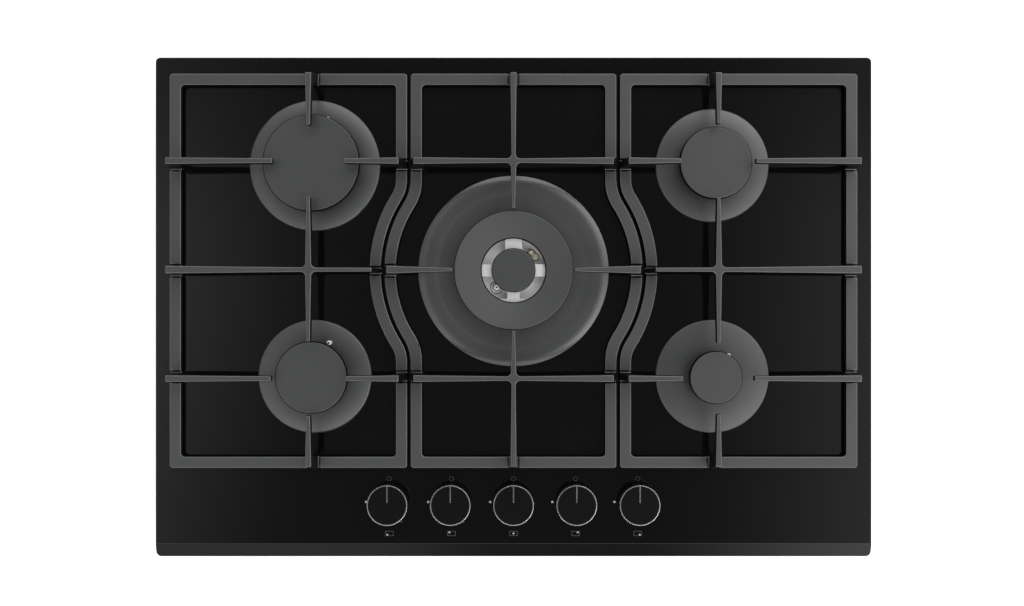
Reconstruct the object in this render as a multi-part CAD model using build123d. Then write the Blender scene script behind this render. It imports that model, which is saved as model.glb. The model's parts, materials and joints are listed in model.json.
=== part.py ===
from build123d import *
from dataclasses import dataclass
from math import atan2, cos, degrees, hypot, radians, sin, sqrt
import os

# A five-burner gas cooktop on black glass, 75 cm wide, in millimetres.
# +X is to the cook's right, +Y to the rear, +Z up. The origin is under the middle of the glass,
# level with the underside of the base tray.

# ------------------------------------------------------------------ driving dimensions
GLASS_WIDTH = 745.0
GLASS_DEPTH = 520.0
GLASS_THICKNESS = 8.0
GLASS_CORNER = 5.0
GLASS_EDGE_CHAMFER = 0.8
BEVEL_WIDTH = 14.2
BEVEL_DROP = 5.0

TRAY_HEIGHT = 52.0
TRAY_SHEET = 1.0
TRAY_WIDTH = 544.0
TRAY_DEPTH = 464.0
TRAY_CORNER = 8.0
TRAY_FLANGE = 5.0
INLET_NOTCH_WIDTH = 46.0
INLET_NOTCH_DEPTH = 46.0
CLIP_HOLE_RADIUS = 2.1
CLIP_SPACING_X = 480.0
CLIP_SPACING_Y = 340.0

SEAL_WIDTH = 10.0
SEAL_THICKNESS = 3.0
SEAL_SETBACK = 7.0

BURNER_ROW = 206.0          # side burners' distance from the middle line
ROW_PITCH = 109.3           # a burner row's distance from the wok burner's row
WOK_Y = 37.6

RIM_HEIGHT = 4.3            # heights over the glass: the cup flange's rim, the crown's seat,
SEAT_HEIGHT = 6.6           # the crown's top and the cap's top
CROWN_HEIGHT = 21.3
CAP_HEIGHT = 28.6
CUP_DEPTH = 40.0            # how far a cup reaches under the glass's top face
CUP_WALL = 3.0
CAP_EDGE = 1.5

FRAME_X = 355.0             # outer edge of the side supports' frames
FRAME_REAR = 241.2
FRAME_FRONT = -166.1
FRAME_INNER_X = 109.65      # edge that a side frame turns to the centre frame
CENTRE_FRAME_X = 106.3
FRAME_BAR = 11.9
FRAME_BOTTOM = 3.2          # heights over the glass
FRAME_TOP = 10.2
FINGER_TOP = 45.4
FINGER_UNDER = 33.9
FINGER_INSET = 5.6
TIP_RISE = 2.2
SIDE_ARC = 136.8            # the curved bars' radii about the wok burner's axis
CENTRE_ARC = 133.4
LIFT_OUT_GAP = 0.4          # a cap's clearance to the finger tips round it

KNOB_PITCH = 64.6
KNOB_Y = -202.5
KNOB_RADIUS = 20.96
KNOB_RING_WIDTH = 1.6
KNOB_TOP = 23.7             # over the glass
KNOB_GAP = 4.4              # air under the knob, more than its push travel

MANIFOLD_RADIUS = 8.0
MANIFOLD_Y = KNOB_Y - 16.5
MANIFOLD_Z = 26.0
INLET_X = 252.0
INLET_THREAD_RADIUS = 10.478

# ------------------------------------------------------------------ worked out from them
GLASS_TOP = TRAY_HEIGHT + GLASS_THICKNESS
SEAT = GLASS_TOP + SEAT_HEIGHT
CROWN_TOP = GLASS_TOP + CROWN_HEIGHT
CAP_TOP = GLASS_TOP + CAP_HEIGHT
CUP_BOTTOM = GLASS_TOP - CUP_DEPTH
CUP_FLOOR = CUP_BOTTOM + CUP_WALL
REAR_Y = WOK_Y + ROW_PITCH
FRONT_Y = WOK_Y - ROW_PITCH


@dataclass(frozen=True)
class Burner:
    """One burner: its place, its sizes, and the offsets of its spark plug and its flame probe."""
    name: str
    x: float
    y: float
    flange: float
    cap: float
    crown: float
    neck: float
    glass_hole: float
    slots: int
    screw_offset: float
    plug: tuple
    probe: tuple

    @property
    def bore(self):
        return self.neck - CUP_WALL

    @property
    def plug_at(self):
        return (self.x + self.plug[0], self.y + self.plug[1])

    @property
    def probe_at(self):
        return (self.x + self.probe[0], self.y + self.probe[1])


def polar(radius, angle):
    return (radius * cos(radians(angle)), radius * sin(radians(angle)))


LEFT_REAR = Burner("left_rear", -BURNER_ROW, REAR_Y, 67.8, 49.4, 46.0, 38.0, 55.0, 36, 24.0,
                   polar(48.8, 72), polar(43.0, -60))
LEFT_FRONT = Burner("left_front", -BURNER_ROW, FRONT_Y, 58.8, 36.9, 33.8, 29.0, 43.0, 28, 18.0,
                    polar(38.8, 65), polar(31.4, -60))
WOK = Burner("wok", 0.0, WOK_Y, 98.7, 60.8, 57.5, 18.0, 34.0, 44, 11.0,
             (-17.3, -17.1), (18.2, 18.4))
RIGHT_REAR = Burner("right_rear", BURNER_ROW, REAR_Y, 58.8, 36.9, 33.8, 29.0, 43.0, 28, 18.0,
                    polar(36.6, 65), polar(31.4, -120))
RIGHT_FRONT = Burner("right_front", BURNER_ROW, FRONT_Y, 58.8, 27.0, 24.0, 20.0, 33.0, 20, 11.0,
                     polar(26.4, 56), polar(22.4, -120))
CORNER_BURNERS = [LEFT_REAR, LEFT_FRONT, RIGHT_REAR, RIGHT_FRONT]
BURNERS = [LEFT_REAR, LEFT_FRONT, WOK, RIGHT_REAR, RIGHT_FRONT]

# The knobs stand in this order, left to right.
KNOB_ORDER = [LEFT_FRONT, LEFT_REAR, WOK, RIGHT_REAR, RIGHT_FRONT]
KNOB_X = {burner.name: (place - 2) * KNOB_PITCH for place, burner in enumerate(KNOB_ORDER)}

# Finger tips stand this far from their burner's axis.
TIP_RADIUS = {
    "left_rear": 35.8,
    "left_front": LEFT_FRONT.cap + LIFT_OUT_GAP,
    "wok": WOK.cap + LIFT_OUT_GAP,
    "right_rear": RIGHT_REAR.cap + LIFT_OUT_GAP,
    "right_front": 35.8,
}


# ------------------------------------------------------------------ shared shapes
def block(x0, x1, y0, y1, z0, z1):
    """A box between two corners."""
    return Pos((x0 + x1) / 2, (y0 + y1) / 2, (z0 + z1) / 2) * Box(x1 - x0, y1 - y0, z1 - z0)


def rod(x, y, z0, z1, radius):
    """An upright cylinder."""
    return Pos(x, y, (z0 + z1) / 2) * Cylinder(radius, z1 - z0)


def rod_along_y(x, z, y0, y1, radius):
    """A cylinder that lies front to back."""
    return Pos(x, (y0 + y1) / 2, z) * Rot(90, 0, 0) * Cylinder(radius, y1 - y0)


def turned(points, x=0.0, y=0.0):
    """A turned piece about an upright axis, from (radius, height) corners."""
    outline = Polyline([(r, 0, z) for r, z in points], close=True)
    return Pos(x, y, 0) * revolve(make_face(outline), Axis.Z)


def oblong(start, end, radius, z0, z1):
    """An upright bar with round ends, between two plan points."""
    along_x = end[0] - start[0]
    along_y = end[1] - start[1]
    slot = SlotCenterToCenter(hypot(along_x, along_y), 2 * radius)
    middle = Pos((start[0] + end[0]) / 2, (start[1] + end[1]) / 2, z0)
    return middle * Rot(0, 0, degrees(atan2(along_y, along_x))) * extrude(slot, z1 - z0)


def pipe(points, radius, bends):
    """A round rod along straight runs joined by tangent bends."""
    path = FilletPolyline(*points, radius=bends) if bends else Line(*points)
    section = Plane(origin=path @ 0, z_dir=path % 0) * Circle(radius)
    return sweep(section, path=path)


def prism_x(points, x0, x1):
    """A straight bar along X with the (y, z) outline given."""
    outline = Polyline([(x0, y, z) for y, z in points], close=True)
    return extrude(make_face(outline), amount=x1 - x0, dir=(1, 0, 0))


# ------------------------------------------------------------------ glass, seal and tray
def glass_panel():
    panel = extrude(RectangleRounded(GLASS_WIDTH, GLASS_DEPTH, GLASS_CORNER), GLASS_THICKNESS)
    panel = Pos(0, 0, TRAY_HEIGHT) * panel
    rims = panel.edges().group_by(Axis.Z)
    panel = chamfer(rims[-1] + rims[0], GLASS_EDGE_CHAMFER)
    front = -GLASS_DEPTH / 2
    past = 2.0
    slope = BEVEL_DROP / BEVEL_WIDTH
    panel -= prism_x(
        [
            (front + BEVEL_WIDTH, GLASS_TOP),
            (front + BEVEL_WIDTH, GLASS_TOP + past),
            (front - past, GLASS_TOP + past),
            (front - past, GLASS_TOP - BEVEL_DROP - past * slope),
        ],
        -GLASS_WIDTH / 2 - past,
        GLASS_WIDTH / 2 + past,
    )
    for burner in BURNERS:
        panel -= rod(burner.x, burner.y, TRAY_HEIGHT - 1, GLASS_TOP + 1, burner.glass_hole)
    for x in KNOB_X.values():
        panel -= rod(x, KNOB_Y, TRAY_HEIGHT - 1, GLASS_TOP + 1, SPINDLE_HOLE)
    return panel


def rim_seal():
    width = GLASS_WIDTH - 2 * SEAL_SETBACK
    depth = GLASS_DEPTH - 2 * SEAL_SETBACK
    outer = RectangleRounded(width, depth, GLASS_CORNER)
    inner = RectangleRounded(width - 2 * SEAL_WIDTH, depth - 2 * SEAL_WIDTH, 1.0)
    return Pos(0, 0, TRAY_HEIGHT - SEAL_THICKNESS) * extrude(outer - inner, SEAL_THICKNESS)


def tray_outline():
    """The tray seen from above: a rectangle with its rear right corner stepped in for the gas inlet."""
    right = TRAY_WIDTH / 2
    rear = TRAY_DEPTH / 2
    outline = make_face(
        Polyline(
            (-right, -rear),
            (right, -rear),
            (right, rear - INLET_NOTCH_DEPTH),
            (right - INLET_NOTCH_WIDTH, rear - INLET_NOTCH_DEPTH),
            (right - INLET_NOTCH_WIDTH, rear),
            (-right, rear),
            close=True,
        )
    )
    return fillet(outline.vertices(), TRAY_CORNER)


def base_tray():
    outline = tray_outline()
    hollow = offset(outline, -TRAY_SHEET)
    flange = offset(outline, TRAY_FLANGE) - hollow
    tray = extrude(outline, TRAY_HEIGHT) - Pos(0, 0, TRAY_SHEET) * extrude(hollow, TRAY_HEIGHT)
    tray += Pos(0, 0, TRAY_HEIGHT - TRAY_SHEET) * extrude(flange, TRAY_SHEET)
    for sx in (-1, 1):
        for sy in (-1, 1):
            x = sx * CLIP_SPACING_X / 2
            y = sy * CLIP_SPACING_Y / 2
            tray -= rod(x, y, -1, TRAY_SHEET + 1, CLIP_HOLE_RADIUS)
    rear = TRAY_DEPTH / 2
    notch_y = rear - INLET_NOTCH_DEPTH
    tray -= rod_along_y(INLET_X, MANIFOLD_Z, notch_y - 3, notch_y + 3, INLET_THREAD_RADIUS + 0.6)
    tray -= rod_along_y(GLAND_X, GLAND_Z, rear - 3, rear + 3, GLAND_RADIUS + 0.3)
    for x, y in rail_screw_places():
        tray -= rod(x, y, -1, TRAY_SHEET + 1, SCREW_RADIUS + 0.05)
    return tray


# ------------------------------------------------------------------ burner rails and screws
RAIL_SHEET = 1.5
RAIL_HALF_WIDTH = 24.0
RAIL_FOOT = 12.0
RAIL_SIDE_FRONT = -125.0
RAIL_LEFT_REAR = 205.0
RAIL_RIGHT_REAR = 180.0
RAIL_CENTRE_END = 80.0
SCREW_RADIUS = 1.5
SCREW_HEAD_RADIUS = 3.0
SCREW_HEAD = 2.0
FOOT_SCREW_SPREAD = 14.0


def rail(length):
    """A hat-shaped bracket along X, its top under the cups and its feet turned in on the tray's floor."""
    top = CUP_BOTTOM
    floor = TRAY_SHEET
    end = length / 2
    width = RAIL_HALF_WIDTH
    bracket = block(-end, end, -width, width, top - RAIL_SHEET, top)
    for side in (-1, 1):
        leg = block(end - RAIL_SHEET, end, -width, width, floor, top)
        foot = block(end - RAIL_FOOT, end, -width, width, floor, floor + RAIL_SHEET)
        bracket += Rot(0, 0, 90 - 90 * side) * (leg + foot)
    return bracket


def rail_places():
    """Each rail as its middle, its length and its turn about Z."""
    left_mid = (RAIL_SIDE_FRONT + RAIL_LEFT_REAR) / 2
    right_mid = (RAIL_SIDE_FRONT + RAIL_RIGHT_REAR) / 2
    return [
        (-BURNER_ROW, left_mid, RAIL_LEFT_REAR - RAIL_SIDE_FRONT, 90),
        (0.0, WOK_Y, 2 * RAIL_CENTRE_END, 0),
        (BURNER_ROW, right_mid, RAIL_RIGHT_REAR - RAIL_SIDE_FRONT, 90),
    ]


def rail_screw_places():
    """Two screws in each foot of each rail."""
    places = []
    for x, y, length, turn in rail_places():
        reach = length / 2 - RAIL_FOOT / 2
        for end in (-reach, reach):
            for across in (-FOOT_SCREW_SPREAD, FOOT_SCREW_SPREAD):
                if turn:
                    places.append((x + across, y + end))
                else:
                    places.append((x + end, y + across))
    return places


def burner_screw_places():
    """Two screws through each cup's floor, in front of and behind its injector."""
    return [(b.x, b.y + side * b.screw_offset) for b in BURNERS for side in (-1, 1)]


def burner_rails():
    rails = []
    for x, y, length, turn in rail_places():
        bracket = Pos(x, y, 0) * Rot(0, 0, turn) * rail(length)
        for sx, sy in rail_screw_places():
            bracket -= rod(sx, sy, 0, 4, SCREW_RADIUS + 0.05)
        for sx, sy in burner_screw_places():
            bracket -= rod(sx, sy, CUP_BOTTOM - 3, CUP_BOTTOM + 1, SCREW_RADIUS + 0.05)
        for burner in BURNERS:
            bracket -= rod(burner.x, burner.y, CUP_BOTTOM - 3, CUP_BOTTOM + 1, 7.0)
        rails.append(bracket)
    return rails


def screw(length):
    """A pan-head screw at the origin, its head above Z 0 and its shank below."""
    head = chamfer(rod(0, 0, 0, SCREW_HEAD, SCREW_HEAD_RADIUS).edges().group_by(Axis.Z)[-1], 0.7)
    slot = block(-SCREW_HEAD_RADIUS, SCREW_HEAD_RADIUS, -0.4, 0.4, SCREW_HEAD - 0.8, SCREW_HEAD + 1)
    return head - slot + rod(0, 0, -length, 0.1, SCREW_RADIUS)


def screws():
    foot_screw = screw(TRAY_SHEET + RAIL_SHEET - 0.2)
    burner_screw = screw(CUP_WALL + RAIL_SHEET + 1.0)
    valve_screw = screw(10.0)
    placed = [Pos(x, y, TRAY_SHEET + RAIL_SHEET) * foot_screw for x, y in rail_screw_places()]
    placed += [Pos(x, y, CUP_FLOOR) * burner_screw for x, y in burner_screw_places()]
    for x in KNOB_X.values():
        for dx, z in VALVE_SCREWS:
            placed.append(Pos(x + dx, VALVE_EAR_REAR, z) * Rot(-90, 0, 0) * valve_screw)
    return placed


# ------------------------------------------------------------------ burners
RIM_ROUND = 1.3
CROWN_WALL = 6.0
CROWN_PLATE = 2.4
SLOT_WIDTH = 2.0
SLOT_DEPTH = 5.0
PLUG_RADIUS = 2.3
PLUG_COLLAR = 6.0
PROBE_RADIUS = 1.5
PROBE_TIP = 3.0             # of the wok burner's probe, which a clip and a nut hold on the flange
PROBE_NUT = 3.6
PROBE_NUT_AT = (22.3, 14.1)
INJECTOR_RADIUS = 4.0


def cup_solid(burner, upper_edges):
    """A cup turned from its flange's upper outline, which runs from the crown's seat to the rim."""
    start = upper_edges[0] @ 0
    end = upper_edges[-1] @ 1
    bottom = CUP_BOTTOM
    lower = Polyline(
        end,
        (burner.flange, 0, GLASS_TOP),
        (burner.neck, 0, GLASS_TOP),
        (burner.neck, 0, bottom),
        (INJECTOR_RADIUS + 0.05, 0, bottom),
        (INJECTOR_RADIUS + 0.05, 0, CUP_FLOOR),
        (burner.bore, 0, CUP_FLOOR),
        start,
    )
    cup = Pos(burner.x, burner.y, 0) * revolve(make_face(upper_edges + [lower]), Axis.Z)
    px, py = burner.plug_at
    cup -= rod(px, py, TRAY_HEIGHT, CROWN_TOP, PLUG_RADIUS + 0.3)
    px, py = burner.probe_at
    cup -= rod(px, py, TRAY_HEIGHT, CROWN_TOP, PROBE_RADIUS + 0.3)
    for sx, sy in burner_screw_places():
        if hypot(sx - burner.x, sy - burner.y) < burner.neck:
            cup -= rod(sx, sy, bottom - 1, CUP_FLOOR + 1, SCREW_RADIUS + 0.05)
    return cup


def corner_cup(burner):
    """The flange falls in one soft arc from the crown's seat to a rounded rim."""
    rim_top = GLASS_TOP + RIM_HEIGHT
    flat = Line((burner.bore, 0, SEAT), (burner.cap - 2, 0, SEAT))
    fall = TangentArc((burner.cap - 2, 0, SEAT), (burner.flange - RIM_ROUND, 0, rim_top), tangent=(1, 0, 0))
    rim = TangentArc(fall @ 1, (burner.flange, 0, rim_top - RIM_ROUND), tangent=fall % 1)
    return cup_solid(burner, [flat, fall, rim])


def wok_cup():
    """The wok burner's flange is a shallow dish with a raised ring and a rounded rim."""
    trough = GLASS_TOP + 4.0
    crest = GLASS_TOP + 4.6
    step = Polyline((WOK.bore, 0, SEAT), (58.5, 0, SEAT), (61.0, 0, trough), (75.5, 0, trough))
    rise = TangentArc((75.5, 0, trough), (80.25, 0, (trough + crest) / 2), tangent=(1, 0, 0))
    ease = TangentArc(rise @ 1, (85.0, 0, crest), tangent=rise % 1)
    ring = Line((85.0, 0, crest), (90.0, 0, crest))
    rim = TangentArc((90.0, 0, crest), (WOK.flange, 0, GLASS_TOP + 2.6), tangent=(1, 0, 0))
    return cup_solid(WOK, [step, rise, ease, ring, rim])


def flame_slots(count, inner, outer):
    """Radial slots in a crown's upper edge."""
    slot = block(inner, outer, -SLOT_WIDTH / 2, SLOT_WIDTH / 2, CROWN_TOP - SLOT_DEPTH, CROWN_TOP + 1)
    return [Rot(0, 0, 360 * (i + 0.5) / count) * slot for i in range(count)]


def corner_crown(burner):
    wall = burner.crown - CROWN_WALL
    skirt = burner.bore - 0.3
    crown = turned(
        [
            (skirt - 2.5, GLASS_TOP),
            (skirt, GLASS_TOP),
            (skirt, SEAT),
            (burner.crown, SEAT),
            (burner.crown, CROWN_TOP),
            (wall, CROWN_TOP),
            (wall, SEAT + CROWN_PLATE),
            (skirt - 2.5, SEAT + CROWN_PLATE),
        ]
    )
    crown -= flame_slots(burner.slots, wall - 1, burner.crown + 1)
    crown -= rod(*burner.probe, SEAT - 1, CROWN_TOP + 1, PROBE_RADIUS + 0.5)
    crown -= rod(*burner.plug, SEAT - 1, CROWN_TOP + 1, PLUG_RADIUS + 0.5)
    return Pos(burner.x, burner.y, 0) * crown


def cap_disc(radius, spigot):
    """A burner cap: a flat disc with rounded edges and a spigot that drops into the crown."""
    disc = rod(0, 0, CROWN_TOP, CAP_TOP, radius)
    rims = disc.edges().group_by(Axis.Z)
    disc = fillet(rims[-1], CAP_EDGE)
    return disc + rod(0, 0, CROWN_TOP - 3, CROWN_TOP + 0.5, spigot)


def corner_cap(burner):
    cap = cap_disc(burner.cap, burner.crown - CROWN_WALL - 0.4)
    return Pos(burner.x, burner.y, 0) * cap


WOK_HUB = 18.8
WOK_HUB_BORE = 14.5
WOK_GAP_OUTER = 33.0
WOK_INNER_WALL = 36.5
WOK_CAP_HOLE = 32.5
WOK_INNER_CAP = 22.5
WOK_BRIDGE_TOP = 19.0
WOK_CAP_DISH = 4.2          # how much the ring cap falls from its edge to its hole
WOK_BRIDGE_WIDTHS = [12.8, 17.2, 12.8, 12.8]   # right, rear, left and front
WOK_SHELF = 28.8            # the front bridge widens from here to the ring


def wok_crown():
    """A hub for the inner flame and a double ring for the outer, joined by a floor and four bridges."""
    floor = SEAT + CROWN_PLATE
    skirt = WOK.bore - 0.3
    hub = turned([(WOK_HUB_BORE, SEAT), (WOK_HUB, SEAT), (WOK_HUB, CROWN_TOP), (WOK_HUB_BORE, CROWN_TOP)])
    hub += turned(
        [
            (WOK_HUB_BORE - 2, GLASS_TOP),
            (skirt, GLASS_TOP),
            (skirt, SEAT),
            (WOK_HUB, SEAT),
            (WOK_HUB, floor),
            (WOK_HUB_BORE - 2, floor),
        ]
    )
    hub -= flame_slots(16, WOK_HUB_BORE - 1, WOK_HUB + 1)
    plate = turned([(WOK_HUB - 1, SEAT), (WOK.crown, SEAT), (WOK.crown, floor), (WOK_HUB - 1, floor)])
    ring_base = floor - 0.5
    outer_ring = turned(
        [
            (WOK.crown - CROWN_WALL, ring_base),
            (WOK.crown, ring_base),
            (WOK.crown, CROWN_TOP),
            (WOK.crown - CROWN_WALL, CROWN_TOP),
        ]
    )
    outer_ring -= flame_slots(WOK.slots, WOK.crown - CROWN_WALL - 1, WOK.crown + 1)
    inner_ring = turned(
        [
            (WOK_GAP_OUTER, ring_base),
            (WOK_INNER_WALL, ring_base),
            (WOK_INNER_WALL, CROWN_TOP),
            (WOK_GAP_OUTER, CROWN_TOP),
        ]
    )
    inner_ring -= flame_slots(24, WOK_GAP_OUTER - 1, WOK_INNER_WALL + 1)
    crown = hub + plate + outer_ring + inner_ring
    bridge_top = GLASS_TOP + WOK_BRIDGE_TOP
    for quarter, width in enumerate(WOK_BRIDGE_WIDTHS):
        bridge = block(WOK_HUB - 0.5, WOK_GAP_OUTER + 0.5, -width / 2, width / 2, ring_base, bridge_top)
        crown += Rot(0, 0, 90 * quarter) * bridge
    shelf_end = sqrt(WOK_GAP_OUTER**2 - WOK_SHELF**2)
    crown += block(-shelf_end, shelf_end, -WOK_GAP_OUTER, -WOK_SHELF, ring_base, bridge_top)
    crown -= rod(*WOK.plug, SEAT - 1, CROWN_TOP, PLUG_COLLAR + 0.8)
    crown -= oblong(WOK.probe, PROBE_NUT_AT, PROBE_NUT + 0.6, SEAT - 1, CROWN_TOP)
    return Pos(WOK.x, WOK.y, 0) * crown


def wok_outer_cap():
    disc = turned(
        [
            (WOK_CAP_HOLE, CROWN_TOP),
            (WOK.cap, CROWN_TOP),
            (WOK.cap, CAP_TOP),
            (WOK_CAP_HOLE, CAP_TOP - WOK_CAP_DISH),
        ]
    )
    rims = disc.edges().filter_by(GeomType.CIRCLE).group_by(Axis.Z)
    disc = fillet(rims[-1] + rims[-2], CAP_EDGE)
    inner = WOK_INNER_WALL + 0.5
    outer = WOK.crown - CROWN_WALL - 0.5
    low = CROWN_TOP - 2.5
    high = CROWN_TOP + 0.5
    spigot = turned([(inner, low), (outer, low), (outer, high), (inner, high)])
    return Pos(WOK.x, WOK.y, 0) * (disc + spigot)


def wok_inner_cap():
    return Pos(WOK.x, WOK.y, 0) * cap_disc(WOK_INNER_CAP, WOK_HUB_BORE - 0.4)


# ------------------------------------------------------------------ spark plugs, probes, injectors
PLUG_BOTTOM = 38.0
PLUG_TOP = GLASS_TOP + 16.0
PLUG_HEAD = 3.3             # the wok burner's plug: its head and the groove round it
PLUG_HEAD_ROUND = 2.0
PLUG_GROOVE = 4.6
PIN_RADIUS = 1.0
PIN_HEIGHT = 2.6
WOK_PIN_HEIGHT = 0.6
SPARK_GAP = 1.4


def wok_plug_top(x, y):
    """A domed head that stands out of a grooved collar."""
    top = turned(
        [
            (0, SEAT),
            (PLUG_COLLAR, SEAT),
            (PLUG_COLLAR, SEAT + 4.0),
            (PLUG_GROOVE, SEAT + 4.0),
            (PLUG_GROOVE, SEAT + 0.8),
            (PLUG_HEAD, SEAT + 0.8),
            (PLUG_HEAD, PLUG_TOP),
            (0, PLUG_TOP),
        ],
        x,
        y,
    )
    return fillet(top.edges().group_by(Axis.Z)[-1], PLUG_HEAD_ROUND)


def spark_plugs():
    """Ceramic bodies: a thick end under the glass and a slim stem; the wok burner's has a grooved top."""
    plugs = []
    for burner in BURNERS:
        x, y = burner.plug_at
        plug = rod(x, y, PLUG_BOTTOM, TRAY_HEIGHT - 0.5, PLUG_RADIUS + 1.0)
        plug += rod(x, y, PLUG_BOTTOM, PLUG_TOP, PLUG_RADIUS)
        if burner is WOK:
            plug += wok_plug_top(x, y)
        plugs.append(plug)
    return plugs


def spark_pins():
    """Steel electrodes on the plugs: one that stands clear of its crown has a hook towards it."""
    pins = []
    for burner in BURNERS:
        x, y = burner.plug_at
        height = WOK_PIN_HEIGHT if burner is WOK else PIN_HEIGHT
        pin = rod(x, y, PLUG_TOP, PLUG_TOP + height, PIN_RADIUS)
        reach = hypot(*burner.plug) - burner.crown - SPARK_GAP
        if reach > 2 * PIN_RADIUS:
            turn = degrees(atan2(burner.plug[1], burner.plug[0])) + 180
            hook = Pos(reach / 2, 0, 0) * Rot(0, 90, 0) * Cylinder(PIN_RADIUS, reach)
            pin += Pos(x, y, PLUG_TOP + PIN_HEIGHT - PIN_RADIUS) * Rot(0, 0, turn) * hook
        pins.append(pin)
    return pins


PROBE_LEAD_Z = 40.0
PROBE_LEAD_RADIUS = 1.0
PROBE_BEND = 8.0
WOK_LEAD_X = 32.0


def probe_lead_route(burner):
    """Plan points of a probe's lead, from the probe to the rear face of its valve."""
    x, y = burner.probe_at
    end_x = KNOB_X[burner.name]
    if burner is WOK:
        return [(x, y), (WOK_LEAD_X, y - 20), (WOK_LEAD_X, -110), (end_x, -140), (end_x, VALVE_REAR)]
    return [(x, y), (end_x, y), (end_x, VALVE_REAR)]


def thermocouples():
    """Flame probes with the capillary leads that run to the valves under the glass."""
    probes = []
    for burner in BURNERS:
        x, y = burner.probe_at
        top = GLASS_TOP + 17.0
        probe = rod(x, y, TRAY_HEIGHT - 2, top, PROBE_RADIUS)
        if burner is WOK:
            nut_x = burner.x + PROBE_NUT_AT[0]
            nut_y = burner.y + PROBE_NUT_AT[1]
            tip = rod(x, y, SEAT, top, PROBE_TIP)
            probe += chamfer(tip.edges().group_by(Axis.Z)[-1], 1.0)
            probe += oblong((x, y), (nut_x, nut_y), PROBE_NUT, SEAT, SEAT + 1.5)
            probe += Pos(nut_x, nut_y, SEAT) * extrude(RegularPolygon(PROBE_NUT, 6), 5.5)
            probe += rod(nut_x, nut_y, SEAT, SEAT + 7.0, PROBE_RADIUS)
        points = [(x, y, TRAY_HEIGHT - 1)]
        points += [(px, py, PROBE_LEAD_Z) for px, py in probe_lead_route(burner)]
        bends = [PROBE_BEND] * (len(points) - 2)
        probes.append(probe + pipe(points, PROBE_LEAD_RADIUS, bends))
    return probes


TUBE_Z = 8.0
TUBE_RADIUS = 4.0
TUBE_BEND = 8.5
INJECTOR_BOTTOM = 18.0


def tube_route(burner):
    """Plan points of a gas tube, from the rear face of its valve to the burner's axis."""
    x = KNOB_X[burner.name]
    if burner is WOK:
        return [(x, VALVE_REAR), (burner.x, burner.y)]
    if burner.y == FRONT_Y:
        return [(x, VALVE_REAR), (x, burner.y), (burner.x, burner.y)]
    side = 1 if burner.x > 0 else -1
    return [(x, VALVE_REAR), (x, 90.0), (side * 150.0, burner.y), (burner.x, burner.y)]


def gas_tubes():
    tubes = []
    for burner in BURNERS:
        plan = tube_route(burner)
        points = [(x, y, TUBE_Z) for x, y in plan] + [(burner.x, burner.y, INJECTOR_BOTTOM)]
        bends = [24.0] * (len(plan) - 2) + [TUBE_BEND]
        tubes.append(pipe(points, TUBE_RADIUS, bends))
    return tubes


def injectors():
    """Brass gas jets: a stem through the cup's floor, a hexagon on it and a small bore."""
    jets = []
    for burner in BURNERS:
        jet = rod(0, 0, INJECTOR_BOTTOM, CUP_FLOOR + 1, INJECTOR_RADIUS)
        jet += Pos(0, 0, CUP_FLOOR) * extrude(RegularPolygon(6.0, 6, major_radius=False), 6.0)
        jet += rod(0, 0, CUP_FLOOR + 5, CUP_FLOOR + 9, 3.5)
        jet -= rod(0, 0, INJECTOR_BOTTOM - 1, CUP_FLOOR + 10, 0.9)
        jets.append(Pos(burner.x, burner.y, 0) * jet)
    return jets


# ------------------------------------------------------------------ valves, spindles and knobs
SPINDLE_HOLE = 9.0
SPINDLE_RADIUS = 4.0
KEY_RADIUS = 3.0
KEY_FLAT = 2.0
FIT = 0.05
VALVE_HALF = 13.0
VALVE_FRONT = KNOB_Y - 8.5
VALVE_REAR = KNOB_Y + 17.5
VALVE_BOTTOM = 3.0
VALVE_TOP = 42.0
VALVE_NECK_TOP = 50.0
VALVE_NECK_RADIUS = 8.0
VALVE_EAR_REAR = VALVE_FRONT + 5.0
VALVE_EAR_HALF = 19.5
VALVE_SCREWS = [(-16.2, 17.0), (16.2, 35.0)]
PLUG_BORE_BOTTOM = 16.0
PLUG_BORE_TOP = 40.0
VALVE_PLUG_RADIUS = 7.0
SPINDLE_BOTTOM = 30.0
SPINDLE_STEP = 44.0
KNOB_BOTTOM_Z = GLASS_TOP + KNOB_GAP
KNOB_TOP_Z = GLASS_TOP + KNOB_TOP
KNOB_FACE_Z = KNOB_TOP_Z - 0.3
HUB_BOTTOM = 68.0
SPINDLE_TOP = 79.0


def keyed_rod(radius, flat, z0, z1):
    """A rod with a flat on its right, so that it turns what it enters."""
    return rod(0, 0, z0, z1, radius) - block(flat, flat + radius, -radius, radius, z0 - 1, z1 + 1)


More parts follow.
